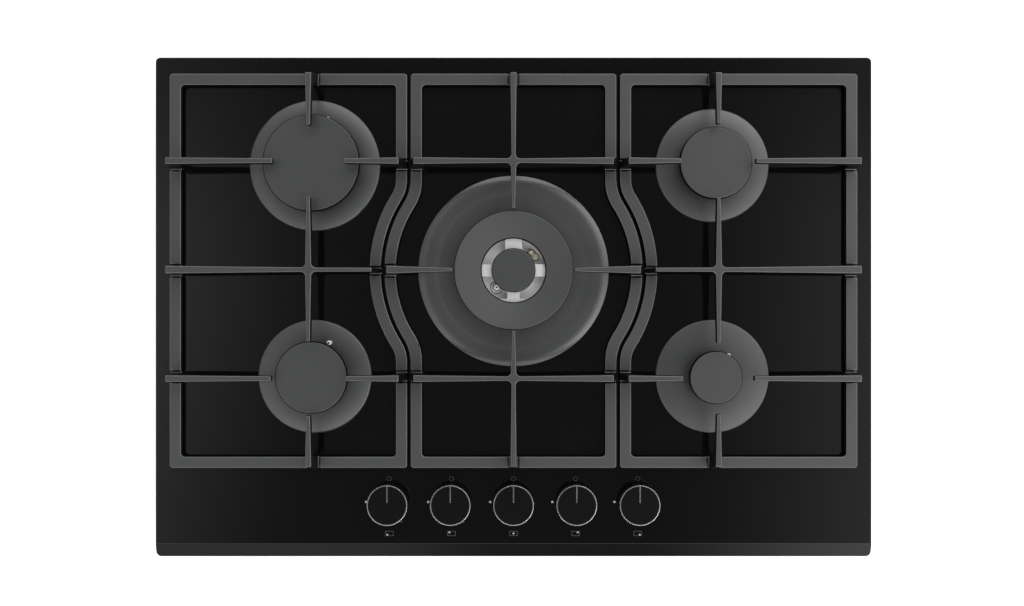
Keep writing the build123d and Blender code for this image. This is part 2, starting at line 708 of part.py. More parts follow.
def valve_body():
    """A gas tap's body: a block on the manifold's saddle with a bore for its plug and a neck."""
    body = block(-VALVE_HALF, VALVE_HALF, VALVE_FRONT, VALVE_REAR, VALVE_BOTTOM, VALVE_TOP)
    body = fillet(body.edges().filter_by(Axis.Z), 2.5)
    ear_bottom = VALVE_SCREWS[0][1] - 4
    ear_top = VALVE_SCREWS[1][1] + 4
    body += block(-VALVE_EAR_HALF, VALVE_EAR_HALF, VALVE_FRONT, VALVE_EAR_REAR, ear_bottom, ear_top)
    body += rod(0, KNOB_Y, VALVE_TOP - 1, VALVE_NECK_TOP, VALVE_NECK_RADIUS)
    body -= rod(0, KNOB_Y, PLUG_BORE_BOTTOM, PLUG_BORE_TOP, VALVE_PLUG_RADIUS + FIT)
    body -= rod(0, KNOB_Y, PLUG_BORE_TOP - 1, VALVE_NECK_TOP + 1, SPINDLE_RADIUS + FIT)
    body -= rod(0, KNOB_Y, TUBE_Z, PLUG_BORE_BOTTOM + 1, 2.5)
    body -= rod_along_y(0, TUBE_Z, KNOB_Y, VALVE_REAR + 1, 2.5)
    body -= rod_along_y(0, MANIFOLD_Z, VALVE_FRONT - 1, KNOB_Y - 5, 2.5)
    for dx, z in VALVE_SCREWS:
        body -= rod_along_y(dx, z, VALVE_FRONT - 1, VALVE_EAR_REAR + 1, SCREW_RADIUS + FIT)
    return body


def gas_valves():
    body = valve_body()
    return [Pos(x, 0, 0) * body for x in KNOB_X.values()]


def valve_plug(x):
    """The turning plug, with a keyed socket for the spindle and a gas port across it."""
    plug = rod(0, 0, PLUG_BORE_BOTTOM + 0.3, PLUG_BORE_TOP - 0.3, VALVE_PLUG_RADIUS)
    plug -= keyed_rod(KEY_RADIUS + FIT, KEY_FLAT + FIT, 25.0, PLUG_BORE_TOP)
    plug -= Pos(0, 0, 21.0) * Rot(0, 90, 0) * Cylinder(1.8, 2 * VALVE_PLUG_RADIUS + 2)
    return Pos(x, KNOB_Y, 0) * plug


def spindle(x):
    stem = keyed_rod(KEY_RADIUS, KEY_FLAT, SPINDLE_BOTTOM, SPINDLE_STEP + 1)
    stem += rod(0, 0, SPINDLE_STEP, HUB_BOTTOM, SPINDLE_RADIUS)
    stem += keyed_rod(KEY_RADIUS, KEY_FLAT, HUB_BOTTOM - 1, SPINDLE_TOP)
    return Pos(x, KNOB_Y, 0) * stem


RING_BOTTOM_Z = KNOB_TOP_Z - 5.1
RING_INNER = KNOB_RADIUS - KNOB_RING_WIDTH
POINTER_HALF_WIDTH = 0.8
POINTER_START = 2.5
POINTER_FLOOR_Z = KNOB_FACE_Z - 0.5


def pointer(depth_z, top_z):
    """The line on a knob's face that points to the rear, at off."""
    return block(-POINTER_HALF_WIDTH, POINTER_HALF_WIDTH, POINTER_START, RING_INNER + 0.3, depth_z, top_z)


def knob(x):
    skirt = KNOB_RADIUS - 0.4
    ceiling = KNOB_FACE_Z - 3.2
    shell = turned(
        [
            (skirt - 2.2, KNOB_BOTTOM_Z),
            (skirt, KNOB_BOTTOM_Z),
            (skirt, RING_BOTTOM_Z),
            (RING_INNER, RING_BOTTOM_Z),
            (RING_INNER, KNOB_FACE_Z),
            (0, KNOB_FACE_Z),
            (0, ceiling),
            (skirt - 2.2, ceiling),
        ]
    )
    hub = rod(0, 0, HUB_BOTTOM, ceiling + 1, 5.5)
    hub -= keyed_rod(KEY_RADIUS + 0.02, KEY_FLAT + 0.02, HUB_BOTTOM - 1, SPINDLE_TOP)
    return Pos(x, KNOB_Y, 0) * (shell + hub - pointer(POINTER_FLOOR_Z, KNOB_TOP_Z))


def knob_ring(x):
    """The bright trim: a ring round the knob's face, in one piece with the pointer line."""
    bright = turned(
        [
            (RING_INNER, RING_BOTTOM_Z),
            (KNOB_RADIUS, RING_BOTTOM_Z),
            (KNOB_RADIUS, KNOB_TOP_Z - 0.5),
            (KNOB_RADIUS - 0.5, KNOB_TOP_Z),
            (RING_INNER, KNOB_TOP_Z),
        ]
    )
    return Pos(x, KNOB_Y, 0) * (bright + pointer(POINTER_FLOOR_Z, KNOB_TOP_Z))


def knob_seals():
    """Rubber bushes that close the glass's holes round the spindles."""
    lip = SPINDLE_HOLE + 3.0
    inner = SPINDLE_RADIUS + 0.4
    bush = turned(
        [
            (inner, TRAY_HEIGHT + 2),
            (SPINDLE_HOLE - 0.1, TRAY_HEIGHT + 2),
            (SPINDLE_HOLE - 0.1, GLASS_TOP),
            (lip, GLASS_TOP),
            (lip - 1, GLASS_TOP + 1.3),
            (inner, GLASS_TOP + 1.3),
        ]
    )
    return [Pos(x, KNOB_Y, 0) * bush for x in KNOB_X.values()]


def ignition_switches():
    """A small switch on each valve, behind its neck, with two tags."""
    case = block(-8, 8, VALVE_REAR - 9, VALVE_REAR - 1, VALVE_TOP, VALVE_TOP + 7)
    case = chamfer(case.edges().group_by(Axis.Z)[-1], 0.6)
    tag = block(-1, 1, VALVE_REAR - 1, VALVE_REAR + 4, VALVE_TOP + 3, VALVE_TOP + 4)
    switch = case + Pos(-4, 0, 0) * tag + Pos(4, 0, 0) * tag
    return [Pos(x, 0, 0) * switch for x in KNOB_X.values()]


# ------------------------------------------------------------------ manifold, inlet and electrics
MANIFOLD_LEFT = -150.0
MANIFOLD_BORE = 6.5
MANIFOLD_BEND = 30.0
INLET_HEX_START = 150.0
INLET_HEX_END = 163.0
INLET_END = 209.0
INLET_GROOVE = 2.0
INLET_GROOVE_RADIUS = 9.2
NUT_THICKNESS = 5.0


def gas_manifold():
    """The gas rail: a round pipe along the valves, bent to the rear, with a flat saddle at each valve."""
    route = [
        (MANIFOLD_LEFT, MANIFOLD_Y, MANIFOLD_Z),
        (INLET_X, MANIFOLD_Y, MANIFOLD_Z),
        (INLET_X, INLET_HEX_START, MANIFOLD_Z),
    ]
    manifold = pipe(route, MANIFOLD_RADIUS, [MANIFOLD_BEND])
    saddle_bottom = VALVE_SCREWS[0][1] - 4
    saddle_top = VALVE_SCREWS[1][1] + 4
    for x in KNOB_X.values():
        half = VALVE_EAR_HALF
        manifold += block(x - half, x + half, MANIFOLD_Y, VALVE_FRONT, saddle_bottom, saddle_top)
    bore_route = [(MANIFOLD_LEFT + 3, MANIFOLD_Y, MANIFOLD_Z)] + route[1:]
    manifold -= pipe(bore_route, MANIFOLD_BORE, [MANIFOLD_BEND])
    for x in KNOB_X.values():
        manifold -= rod_along_y(x, MANIFOLD_Z, MANIFOLD_Y, VALVE_FRONT + 1, 2.5)
        for dx, z in VALVE_SCREWS:
            manifold -= rod_along_y(x + dx, z, VALVE_FRONT - 6, VALVE_FRONT + 1, SCREW_RADIUS + FIT)
    return manifold


def hexagon_along_y(across_flats, y0, y1):
    hexagon = RegularPolygon(across_flats / 2, 6, major_radius=False)
    return extrude(Plane((INLET_X, y0, MANIFOLD_Z), z_dir=(0, 1, 0)) * hexagon, y1 - y0)


def gas_inlet():
    """The half-inch threaded connector, and the nut that holds it in the stepped corner's wall."""
    notch_y = TRAY_DEPTH / 2 - INLET_NOTCH_DEPTH
    nut_end = notch_y + NUT_THICKNESS
    thread_start = nut_end + INLET_GROOVE
    connector = hexagon_along_y(27.0, INLET_HEX_START, INLET_HEX_END)
    connector += rod_along_y(INLET_X, MANIFOLD_Z, INLET_HEX_END - 1, nut_end, INLET_THREAD_RADIUS)
    connector += rod_along_y(INLET_X, MANIFOLD_Z, nut_end - 1, thread_start + 1, INLET_GROOVE_RADIUS)
    connector += rod_along_y(INLET_X, MANIFOLD_Z, thread_start, INLET_END, INLET_THREAD_RADIUS)
    connector -= rod_along_y(INLET_X, MANIFOLD_Z, INLET_HEX_START - 1, INLET_END + 1, MANIFOLD_BORE)
    nut = hexagon_along_y(30.0, notch_y, nut_end)
    nut -= rod_along_y(INLET_X, MANIFOLD_Z, notch_y - 1, nut_end + 1, INLET_THREAD_RADIUS + 0.02)
    return [connector, nut]


GLAND_X = 140.0
GLAND_Z = 15.0
GLAND_RADIUS = 8.0


def terminal_box():
    """Mains terminal box on the tray's floor, and the gland that its supply lead enters by."""
    rear = TRAY_DEPTH / 2
    box = block(GLAND_X - 30, GLAND_X + 30, rear - 38, rear - 8, TRAY_SHEET, TRAY_SHEET + 28)
    box = fillet(box.edges().filter_by(Axis.Z), 3.0)
    gland = rod_along_y(GLAND_X, GLAND_Z, rear - 9, rear + 9, GLAND_RADIUS)
    gland += rod_along_y(GLAND_X, GLAND_Z, rear, rear + 4, GLAND_RADIUS + 2.5)
    bore = rod_along_y(GLAND_X, GLAND_Z, rear - 20, rear + 10, 4.0)
    return box + gland - bore


MODULE_X0 = -130.0
MODULE_X1 = -70.0
MODULE_Y0 = 186.0
MODULE_Y1 = 226.0
MODULE_TOP = 39.0
LEAD_RADIUS = 1.2
LEAD_BEND = 8.0


def ignition_module():
    body = block(MODULE_X0, MODULE_X1, MODULE_Y0, MODULE_Y1, TRAY_SHEET, MODULE_TOP)
    body = fillet(body.edges().filter_by(Axis.Z), 3.0)
    return fillet(body.edges().group_by(Axis.Z)[-1], 1.5)


def lead_routes():
    """Each spark lead's level and plan points, from its plug to the module. No two share a level."""
    side_entry = MODULE_X0
    front_entry = MODULE_Y0
    return [
        (LEFT_REAR, 24.0, [(side_entry, LEFT_REAR.plug_at[1])]),
        (LEFT_FRONT, 27.0, [(-150, LEFT_FRONT.plug_at[1]), (-150, 160), (-118, 172), (-118, front_entry)]),
        (WOK, 30.0, [(-60, WOK.plug_at[1]), (-60, 150), (-106, 166), (-106, front_entry)]),
        (RIGHT_REAR, 33.0, [(190, 190), (-82, 160), (-82, front_entry)]),
        (RIGHT_FRONT, 36.5, [(150, RIGHT_FRONT.plug_at[1]), (150, 148), (-94, 148), (-94, front_entry)]),
    ]


def spark_leads():
    leads = []
    for burner, level, plan in lead_routes():
        x, y = burner.plug_at
        points = [(x, y, level)] + [(px, py, level) for px, py in plan]
        lead = pipe(points, LEAD_RADIUS, [LEAD_BEND] * (len(points) - 2))
        boot = rod(x, y, level - 2.5, PLUG_BOTTOM, PLUG_RADIUS + 1.0)
        leads.append(lead + boot)
    return leads


# ------------------------------------------------------------------ pan supports
SIDE_BEND_OUT = 40.0        # radii where a frame's straight bar turns into its curved one
SIDE_BEND_IN = 28.0
CENTRE_BEND_OUT = 48.0
CENTRE_BEND_IN = 50.0
FRAME_CORNER = 3.5
FRAME_INNER_CORNER = 4.0
NOTCH_GAP = 2.2
NOTCH_DEPTH = 3.4
NOTCH_SLOPE_RUN = 2.0       # the notch's ends slope into the frame's top
NOTCH_SLOPE_DROP = 0.9
LEG_WIDTH = 12.0
LEG_LEAN = 3.5
LEG_FILLET = 8.0
TIP_TAPER = 30.0
CROSS_FILLET = 4.5
FOOT_RADIUS = 4.5
FOOT_SPIGOT = 2.0


def frame_region(x0, x1, y0, y1, arc, bend, corner, bulge):
    """A frame outline: a rectangle that an arc about the wok burner's axis cuts into or bulges out of."""
    sketch = Pos((x0 + x1) / 2, (y0 + y1) / 2) * Rectangle(x1 - x0, y1 - y0)
    disc = Pos(WOK.x, WOK.y) * Circle(arc)
    sketch = sketch + disc if bulge else sketch - disc
    bends = [v for v in sketch.vertices() if y0 + 1 < v.Y < y1 - 1]
    sketch = fillet(bends, bend)
    corners = [v for v in sketch.vertices() if min(abs(v.Y - y0), abs(v.Y - y1)) < 0.01]
    return fillet(corners, corner)


def left_frame():
    bar = FRAME_BAR
    outer = frame_region(
        -FRAME_X, -FRAME_INNER_X, FRAME_FRONT, FRAME_REAR, SIDE_ARC, SIDE_BEND_OUT, FRAME_CORNER, False
    )
    inner = frame_region(
        -FRAME_X + bar, -FRAME_INNER_X - bar, FRAME_FRONT + bar, FRAME_REAR - bar,
        SIDE_ARC + bar, SIDE_BEND_IN, FRAME_INNER_CORNER, False,
    )
    return raise_frame(outer - inner)


def centre_frame():
    bar = FRAME_BAR
    half = CENTRE_FRAME_X
    outer = frame_region(
        -half, half, FRAME_FRONT, FRAME_REAR, CENTRE_ARC, CENTRE_BEND_OUT, FRAME_CORNER, True
    )
    inner = frame_region(
        -half + bar, half - bar, FRAME_FRONT + bar, FRAME_REAR - bar,
        CENTRE_ARC - bar, CENTRE_BEND_IN, FRAME_INNER_CORNER, True,
    )
    return raise_frame(outer - inner)


def raise_frame(region):
    return Pos(0, 0, GLASS_TOP + FRAME_BOTTOM) * extrude(region, FRAME_TOP - FRAME_BOTTOM)


@dataclass(frozen=True)
class Finger:
    """A pan finger from its root on a frame's outer edge to its tip, by plan points."""
    root: tuple
    tip: tuple
    root_width: float
    tip_width: float
    free_tip: bool = True
    leg: bool = True
    sloped_notch: bool = True

    @property
    def length(self):
        return hypot(self.tip[0] - self.root[0], self.tip[1] - self.root[1])

    @property
    def place(self):
        turn = degrees(atan2(self.tip[1] - self.root[1], self.tip[0] - self.root[0]))
        return Pos(self.root[0], self.root[1], 0) * Rot(0, 0, turn)

    def side_outline(self):
        """Outline seen from the side, as (distance from the root, height) corners."""
        top = GLASS_TOP + FINGER_TOP
        under = GLASS_TOP + FINGER_UNDER
        far = self.length
        tip = [(far, top), (far, under)]
        if self.free_tip:
            tip = [(far, top), (far, under + TIP_RISE), (far - TIP_TAPER, under)]
        if not self.leg:
            return [(0, under), (0, top)] + tip
        frame_bottom = GLASS_TOP + FRAME_BOTTOM
        frame_top = GLASS_TOP + FRAME_TOP
        foot = [(LEG_WIDTH, frame_top), (LEG_WIDTH, frame_bottom)]
        return [(0, frame_bottom), (0, frame_top), (FINGER_INSET, top)] + tip + [
            (LEG_WIDTH + LEG_LEAN, under)] + foot

    def solid(self):
        outline = make_face(Polyline([(s, 0, z) for s, z in self.side_outline()], close=True))
        if self.leg:
            knee = (LEG_WIDTH + LEG_LEAN, 0, GLASS_TOP + FINGER_UNDER)
            outline = fillet(outline.vertices().sort_by_distance(knee)[0], LEG_FILLET)
        half = max(self.root_width, self.tip_width)
        slab = extrude(outline, half, both=True)
        r = self.root_width / 2
        t = self.tip_width / 2
        plan = make_face(Polyline((0, -r), (self.length, -t), (self.length, t), (0, r), close=True))
        return self.place * (slab & extrude(plan, GLASS_TOP + FINGER_TOP + 1))

    def notch(self):
        """The recess in the frame that the leg stands in. Its ends slope, or are upright."""
        half = self.root_width / 2 + NOTCH_GAP
        top = GLASS_TOP + FRAME_TOP
        past = 1.0
        run = NOTCH_SLOPE_RUN if self.sloped_notch else 0.0
        wide = half + run * (1 + past / NOTCH_SLOPE_DROP)
        outline = Polyline(
            (-past, -half, top - NOTCH_DEPTH),
            (-past, half, top - NOTCH_DEPTH),
            (-past, half, top - NOTCH_SLOPE_DROP),
            (-past, wide, top + past),
            (-past, -wide, top + past),
            (-past, -half, top - NOTCH_SLOPE_DROP),
            close=True,
        )
        return self.place * extrude(make_face(outline), FRAME_BAR + 3, dir=(1, 0, 0))


def side_fingers(rear, front):
    """The left support's fingers round two burners; the right support's are mirrored."""
    fingers = []
    x = -BURNER_ROW
    for burner, end_y in ((rear, FRAME_REAR), (front, FRAME_FRONT)):
        tip = TIP_RADIUS[burner.name]
        away = 1 if end_y > burner.y else -1
        fingers.append(Finger((-FRAME_X, burner.y), (x - tip, burner.y), 7.2, 5.0))
        fingers.append(Finger((-FRAME_INNER_X, burner.y), (x + tip, burner.y), 7.2, 5.0))
        fingers.append(Finger((x, end_y), (x, burner.y + away * tip), 6.9, 4.2))
        fingers.append(Finger((x, WOK_Y), (x, burner.y - away * tip), 6.7, 3.9, leg=False))
    fingers.append(Finger((-FRAME_X, WOK_Y), (x, WOK_Y), 8.3, 4.8, free_tip=False))
    fingers.append(Finger((-SIDE_ARC, WOK_Y), (x, WOK_Y), 4.3, 4.8, free_tip=False))
    return fingers


def centre_fingers():
    fingers = []
    tip = TIP_RADIUS["wok"]
    for row, end_y in ((REAR_Y, FRAME_REAR), (FRONT_Y, FRAME_FRONT)):
        away = 1 if end_y > row else -1
        for side in (-1, 1):
            fingers.append(Finger((side * CENTRE_FRAME_X, row), (0, row), 7.4, 4.7, free_tip=False))
        fingers.append(Finger((0, end_y), (0, row), 6.7, 4.5, free_tip=False, sloped_notch=False))
        fingers.append(Finger((0, row), (0, WOK_Y + away * tip), 6.2, 3.7, leg=False))
    for side in (-1, 1):
        fingers.append(Finger((side * CENTRE_ARC, WOK_Y), (side * tip, WOK_Y), 8.6, 4.0))
    return fingers


def cast_support(frame, fingers, crossings, feet):
    """One casting: the frame with its notches, the legs and fingers, and small webs at the crossings."""
    for finger in fingers:
        if finger.leg:
            frame -= finger.notch()
    casting = frame.fuse(*[finger.solid() for finger in fingers])
    under = GLASS_TOP + FINGER_UNDER
    for cx, cy in crossings:
        corners = [
            edge
            for edge in casting.edges().filter_by(Axis.Z)
            if hypot(edge.center().X - cx, edge.center().Y - cy) < 6
            and edge.center().Z > under
        ]
        casting = fillet(corners, CROSS_FILLET)
    for x, y in feet:
        base = GLASS_TOP + FRAME_BOTTOM
        casting -= rod(x, y, base - 1, base + 3.2, FOOT_SPIGOT + FIT)
    return casting


def corner_feet(x0, x1):
    """Feet under a frame's four corners."""
    inset = FRAME_BAR / 2
    return [(x, y) for x in (x0, x1) for y in (FRAME_FRONT + inset, FRAME_REAR - inset)]


def support_feet(places):
    """Rubber feet with spigots pressed into the casting."""
    base = GLASS_TOP + FRAME_BOTTOM
    foot = rod(0, 0, GLASS_TOP, base, FOOT_RADIUS) + rod(0, 0, base, base + 3, FOOT_SPIGOT)
    return [Pos(x, y, 0) * foot for x, y in places]


SIDE_FEET = corner_feet(-FRAME_X + FRAME_BAR / 2, -FRAME_INNER_X - FRAME_BAR / 2)
CENTRE_FEET = corner_feet(-CENTRE_FRAME_X + FRAME_BAR / 2, CENTRE_FRAME_X - FRAME_BAR / 2)


def pan_supports():
    crossing = [(-BURNER_ROW, WOK_Y)]
    left = cast_support(left_frame(), side_fingers(LEFT_REAR, LEFT_FRONT), crossing, SIDE_FEET)
    right = cast_support(left_frame(), side_fingers(RIGHT_REAR, RIGHT_FRONT), crossing, SIDE_FEET)
    centre = cast_support(centre_frame(), centre_fingers(), [(0, REAR_Y), (0, FRONT_Y)], CENTRE_FEET)
    return left, centre, mirror(right, about=Plane.YZ)


# ------------------------------------------------------------------ the whole cooktop
def build():
    """Every sub-part by name. A list is a group of separate solids."""
    parts = {
        "glass_panel": glass_panel(),
        "rim_seal": rim_seal(),
        "base_tray": base_tray(),
        "burner_rails": burner_rails(),
        "screws": screws(),
        "gas_manifold": gas_manifold(),
        "gas_inlet": gas_inlet(),
        "gas_valves": gas_valves(),
        "gas_tubes": gas_tubes(),
        "injectors": injectors(),
        "ignition_module": ignition_module(),
        "ignition_switches": ignition_switches(),
        "terminal_box": terminal_box(),
        "spark_leads": spark_leads(),
        "spark_plugs": spark_plugs(),
        "spark_pins": spark_pins(),
        "thermocouples": thermocouples(),
        "knob_seals": knob_seals(),
        "burner_cup_wok": wok_cup(),
        "burner_crown_wok": wok_crown(),
        "burner_cap_wok": wok_outer_cap(),
        "burner_cap_wok_inner": wok_inner_cap(),
    }
    for burner in CORNER_BURNERS:
        parts[f"burner_cup_{burner.name}"] = corner_cup(burner)
        parts[f"burner_crown_{burner.name}"] = corner_crown(burner)
        parts[f"burner_cap_{burner.name}"] = corner_cap(burner)
    for name, x in KNOB_X.items():
        parts[f"valve_plug_{name}"] = valve_plug(x)
        parts[f"spindle_{name}"] = spindle(x)
        parts[f"knob_{name}"] = knob(x)
        parts[f"knob_ring_{name}"] = knob_ring(x)
    left, centre, right = pan_supports()
    parts["pan_support_left"] = left
    parts["pan_support_centre"] = centre
    parts["pan_support_right"] = right
    parts["support_feet_left"] = support_feet(SIDE_FEET)
    parts["support_feet_centre"] = support_feet(CENTRE_FEET)
    parts["support_feet_right"] = support_feet([(-x, y) for x, y in SIDE_FEET])
    return parts


def main():
    os.makedirs("parts", exist_ok=True)
    parts = build()
    for name, shape in parts.items():
        solids = shape if isinstance(shape, list) else [shape]
        node = Compound(children=[solid for piece in solids for solid in piece.solids()])
        export_step(node, f"parts/{name}.step")
    print(f"{len(parts)} sub-parts written")


main()
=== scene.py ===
# %% [markdown]
# # Dressing a five-burner gas cooktop
#
# The real object is a black glass panel with five gas burners in it, three cast-iron pan supports on
# it and five knobs along its front. Its solids were made in CAD, with true sizes and moving joints.
# This notebook loads them as a fixed frame and makes the surfaces that the eye sees: softly rounded
# edges, enamel, glass, bright trim and printed marks. One could model everything again in Blender,
# but keeping the CAD solids as the frame means that each piece sits where it does on the real object.

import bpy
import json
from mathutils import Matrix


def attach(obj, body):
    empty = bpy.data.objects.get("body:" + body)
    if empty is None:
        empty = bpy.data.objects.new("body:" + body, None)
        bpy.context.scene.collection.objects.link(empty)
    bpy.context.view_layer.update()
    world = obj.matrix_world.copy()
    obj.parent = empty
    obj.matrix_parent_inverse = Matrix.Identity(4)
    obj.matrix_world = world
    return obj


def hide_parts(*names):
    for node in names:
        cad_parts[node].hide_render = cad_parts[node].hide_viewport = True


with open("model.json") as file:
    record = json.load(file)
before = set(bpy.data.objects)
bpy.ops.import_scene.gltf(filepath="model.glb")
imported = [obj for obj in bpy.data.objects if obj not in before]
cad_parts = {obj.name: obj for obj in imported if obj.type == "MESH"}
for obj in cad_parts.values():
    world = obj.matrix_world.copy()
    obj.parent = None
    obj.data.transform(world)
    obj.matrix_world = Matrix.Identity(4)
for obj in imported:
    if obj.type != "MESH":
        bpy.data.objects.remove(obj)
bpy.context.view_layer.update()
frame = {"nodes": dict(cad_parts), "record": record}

# %% [markdown]
# The modules come next. bmesh builds meshes from operators, in the way that one works in Edit Mode,
# and radians turns the angles of a drawing into the angles that Blender expects.

# %% Modules and the unit
import json
from math import acos, cos, degrees, radians, sin, tau

import bmesh
import bpy
from mathutils import Matrix, Vector

MM = 0.001
scene = bpy.context.scene
print("one millimetre is", MM, "Blender units")

# %% [markdown]
# ## Where things are
#
# A hob is laid out from its burners. The two rows of side burners stand the same distance in front of
# and behind the big wok burner, and the knobs stand 64.6 mm apart. Writing the plan down once, in
# millimetres, lets every later cell ask for a place by name. Heights are given over the glass.

# %% The plan of the hob
GLASS_TOP = 60.0
WOK_Y = 37.6
ROW_DISTANCE = 109.3
REAR_Y = WOK_Y + ROW_DISTANCE
FRONT_Y = WOK_Y - ROW_DISTANCE
SIDE_X = 206.0
BURNER_AT = {
    "left_rear": (-SIDE_X, REAR_Y),
    "left_front": (-SIDE_X, FRONT_Y),
    "wok": (0.0, WOK_Y),
    "right_rear": (SIDE_X, REAR_Y),
    "right_front": (SIDE_X, FRONT_Y),
}
KNOB_Y = -202.5
KNOB_SPACING = 64.6
KNOB_AT = {
    name: ((place - 2) * KNOB_SPACING, KNOB_Y)
    for place, name in enumerate(["left_front", "left_rear", "wok", "right_rear", "right_front"])
}
print("burners:", BURNER_AT)
print("knobs:", KNOB_AT)

# %% [markdown]
# ## The camera
#
# The photograph looks straight down. Each taller part is drawn a little larger and further out, and
# from how much, the camera stood about 1.25 m over the glass. A lens of 42 mm on a 36 mm sensor
# gives the panel its width in the picture. The shift moves the picture without turning the camera,
# because the hob isn't quite in the middle of the photograph. It is measured in pixels and given to
# the camera as a share of the photograph's width.

# %% Camera straight above the hob
CAMERA_HEIGHT = 1250.0
CAMERA_FORWARD = 3.9
PHOTO_WIDTH = 1024
SHIFT_RIGHT = -1.52
SHIFT_UP = 8.0

camera_data = bpy.data.cameras.new("overhead_camera")
camera_data.sensor_width = 36.0
camera_data.lens = 42.25
camera_data.shift_x = SHIFT_RIGHT / PHOTO_WIDTH
camera_data.shift_y = SHIFT_UP / PHOTO_WIDTH
camera_data.clip_end = 20.0
camera = bpy.data.objects.new("overhead_camera", camera_data)
camera.location = (0.0, -CAMERA_FORWARD * MM, (GLASS_TOP + CAMERA_HEIGHT) * MM)
scene.collection.objects.link(camera)
scene.camera = camera
print("camera height over the glass:", round(camera.location.z - GLASS_TOP * MM, 3), "m")

# %% [markdown]
# ## Small helpers for shader nodes
#
# A material is a graph. Adding a node and wiring it takes a few lines each time, so the first helper
# makes a node and sets its inputs: a number or colour is written on the socket, and a socket is
# linked. The other two make the nodes that are needed most, a ramp and a piece of arithmetic.

# %% Helpers: a node, a ramp and arithmetic
def add_node(tree, kind, inputs=None, **settings):
    node = tree.nodes.new(kind)
    for name, value in settings.items():
        setattr(node, name, value)
    for name, value in (inputs or {}).items():
        if isinstance(value, bpy.types.NodeSocket):
            tree.links.new(value, node.inputs[name])
        else:
            node.inputs[name].default_value = value
    return node


def blend_factor(tree, value, low, high, start, end):
    """A smooth ramp from start to end as value goes from low to high."""
    node = add_node(
        tree, "ShaderNodeMapRange",
        {"Value": value, "From Min": low, "From Max": high, "To Min": start, "To Max": end},
        interpolation_type="SMOOTHSTEP",
    )
    return node.outputs["Result"]


def sum_of(tree, first, second, operation="ADD"):
    """Adds two values, or joins them by another operation of the Math node."""
    node = add_node(tree, "ShaderNodeMath", {0: first, 1: second}, operation=operation)
    return node.outputs["Value"]


print("helpers: add_node, blend_factor, sum_of")

# %% [markdown]
# ## Studio light
#
# Black glass shows what is around it, so the light is half of its look. In the photograph the glass
# is darkest in the middle and turns lighter to the left and right: a studio with a dark ceiling and a
# soft white wall on each side. Lamps could do this, but a sky that brightens with direction gives the
# same reflections without noise. How far a direction leans sideways decides how much of a wall it
# meets, so that lean is worked out first. It is the sideways part over the upward part, which counts
# as no less than a quarter. Towards the front, the left wall starts further out.

# %% Studio sky: how far each direction leans
LEAST_UP = 0.25
LEFT_WALL_TURN = 0.22

world = bpy.data.worlds.new("studio")
world.use_nodes = True
scene.world = world
sky = world.node_tree
sky.nodes.clear()
direction = add_node(sky, "ShaderNodeTexCoord")
axes = add_node(sky, "ShaderNodeSeparateXYZ", {"Vector": direction.outputs["Generated"]})
right, rear, up = axes.outputs["X"], axes.outputs["Y"], axes.outputs["Z"]
left = sum_of(sky, right, -1.0, "MULTIPLY")
front = sum_of(sky, rear, -1.0, "MULTIPLY")
lean_right = sum_of(sky, right, sum_of(sky, up, LEAST_UP, "MAXIMUM"), "DIVIDE")
lean_left = sum_of(sky, lean_right, -1.0, "MULTIPLY")
forward_part = sum_of(sky, rear, 0.0, "MINIMUM")
lean_left = sum_of(sky, lean_left, sum_of(sky, forward_part, LEFT_WALL_TURN, "MULTIPLY"))


def towards(angle):
    """How far a direction leans towards a compass angle: 0 is right and 90 is the rear."""
    sideways = sum_of(sky, right, cos(radians(angle)), "MULTIPLY")
    backwards = sum_of(sky, rear, sin(radians(angle)), "MULTIPLY")
    return sum_of(sky, sideways, backwards)


print("sky nodes for directions:", len(sky.nodes))

# %% [markdown]
# Each light is a ramp over a lean. The left wall rises to its brightest and then fades further out,
# and both walls are weaker towards the rear. Two soft boxes lighten the right end of the glass, one
# from behind and one from in front, on top of the weak light of the ceiling. A strip in the rear and
# one in front light what leans that way, such as the rims of the caps. Low down, all of it fades out.

# %% Studio sky: walls, soft boxes and strips
OVERHEAD = 0.11
LEFT_WALL = 1.45
LEFT_WALL_FAR = 0.45
RIGHT_WALL = 1.35
WALLS_AT_REAR = 0.4
REAR_RIGHT = 2.00
REAR_RIGHT_ANGLE = 66
FRONT_RIGHT = 1.85
FRONT_RIGHT_ANGLE = -76
REAR_AND_FRONT = 0.32
HORIZON = 0.05

left_wall = sum_of(
    sky,
    blend_factor(sky, lean_left, 0.12, 0.58, 0.0, LEFT_WALL),
    blend_factor(sky, lean_left, 0.32, 0.65, 1.0, LEFT_WALL_FAR), "MULTIPLY",
)
side_walls = sum_of(sky, left_wall, blend_factor(sky, lean_right, 0.12, 0.60, 0.0, RIGHT_WALL))
rear_fade = blend_factor(sky, rear, 0.05, 0.20, 1.0, WALLS_AT_REAR)
side_walls = sum_of(sky, side_walls, rear_fade, "MULTIPLY")
soft_boxes = sum_of(
    sky,
    blend_factor(sky, towards(REAR_RIGHT_ANGLE), 0.27, 0.60, OVERHEAD, OVERHEAD + REAR_RIGHT),
    blend_factor(sky, towards(FRONT_RIGHT_ANGLE), 0.23, 0.56, 0.0, FRONT_RIGHT),
)
depth = sum_of(sky, rear, front, "MAXIMUM")
strips = blend_factor(sky, depth, 0.22, 0.38, 0.0, REAR_AND_FRONT)
above = sum_of(sky, sum_of(sky, side_walls, soft_boxes), strips)
above_low = blend_factor(sky, up, 0.25, 0.70, HORIZON, 1.0)
above = sum_of(sky, above, above_low, "MULTIPLY")
print("overhead", OVERHEAD, "left wall", LEFT_WALL, "right wall", RIGHT_WALL)

# %% [markdown]
# The ground slope along the panel's front edge mirrors the studio's front wall, which has its own
# pattern: soft on the left and bright on the right. Near the horizon the studio is dark, because in
# the photograph the upright sides of the castings are nearly black. The camera itself sees plain pale
# surroundings.

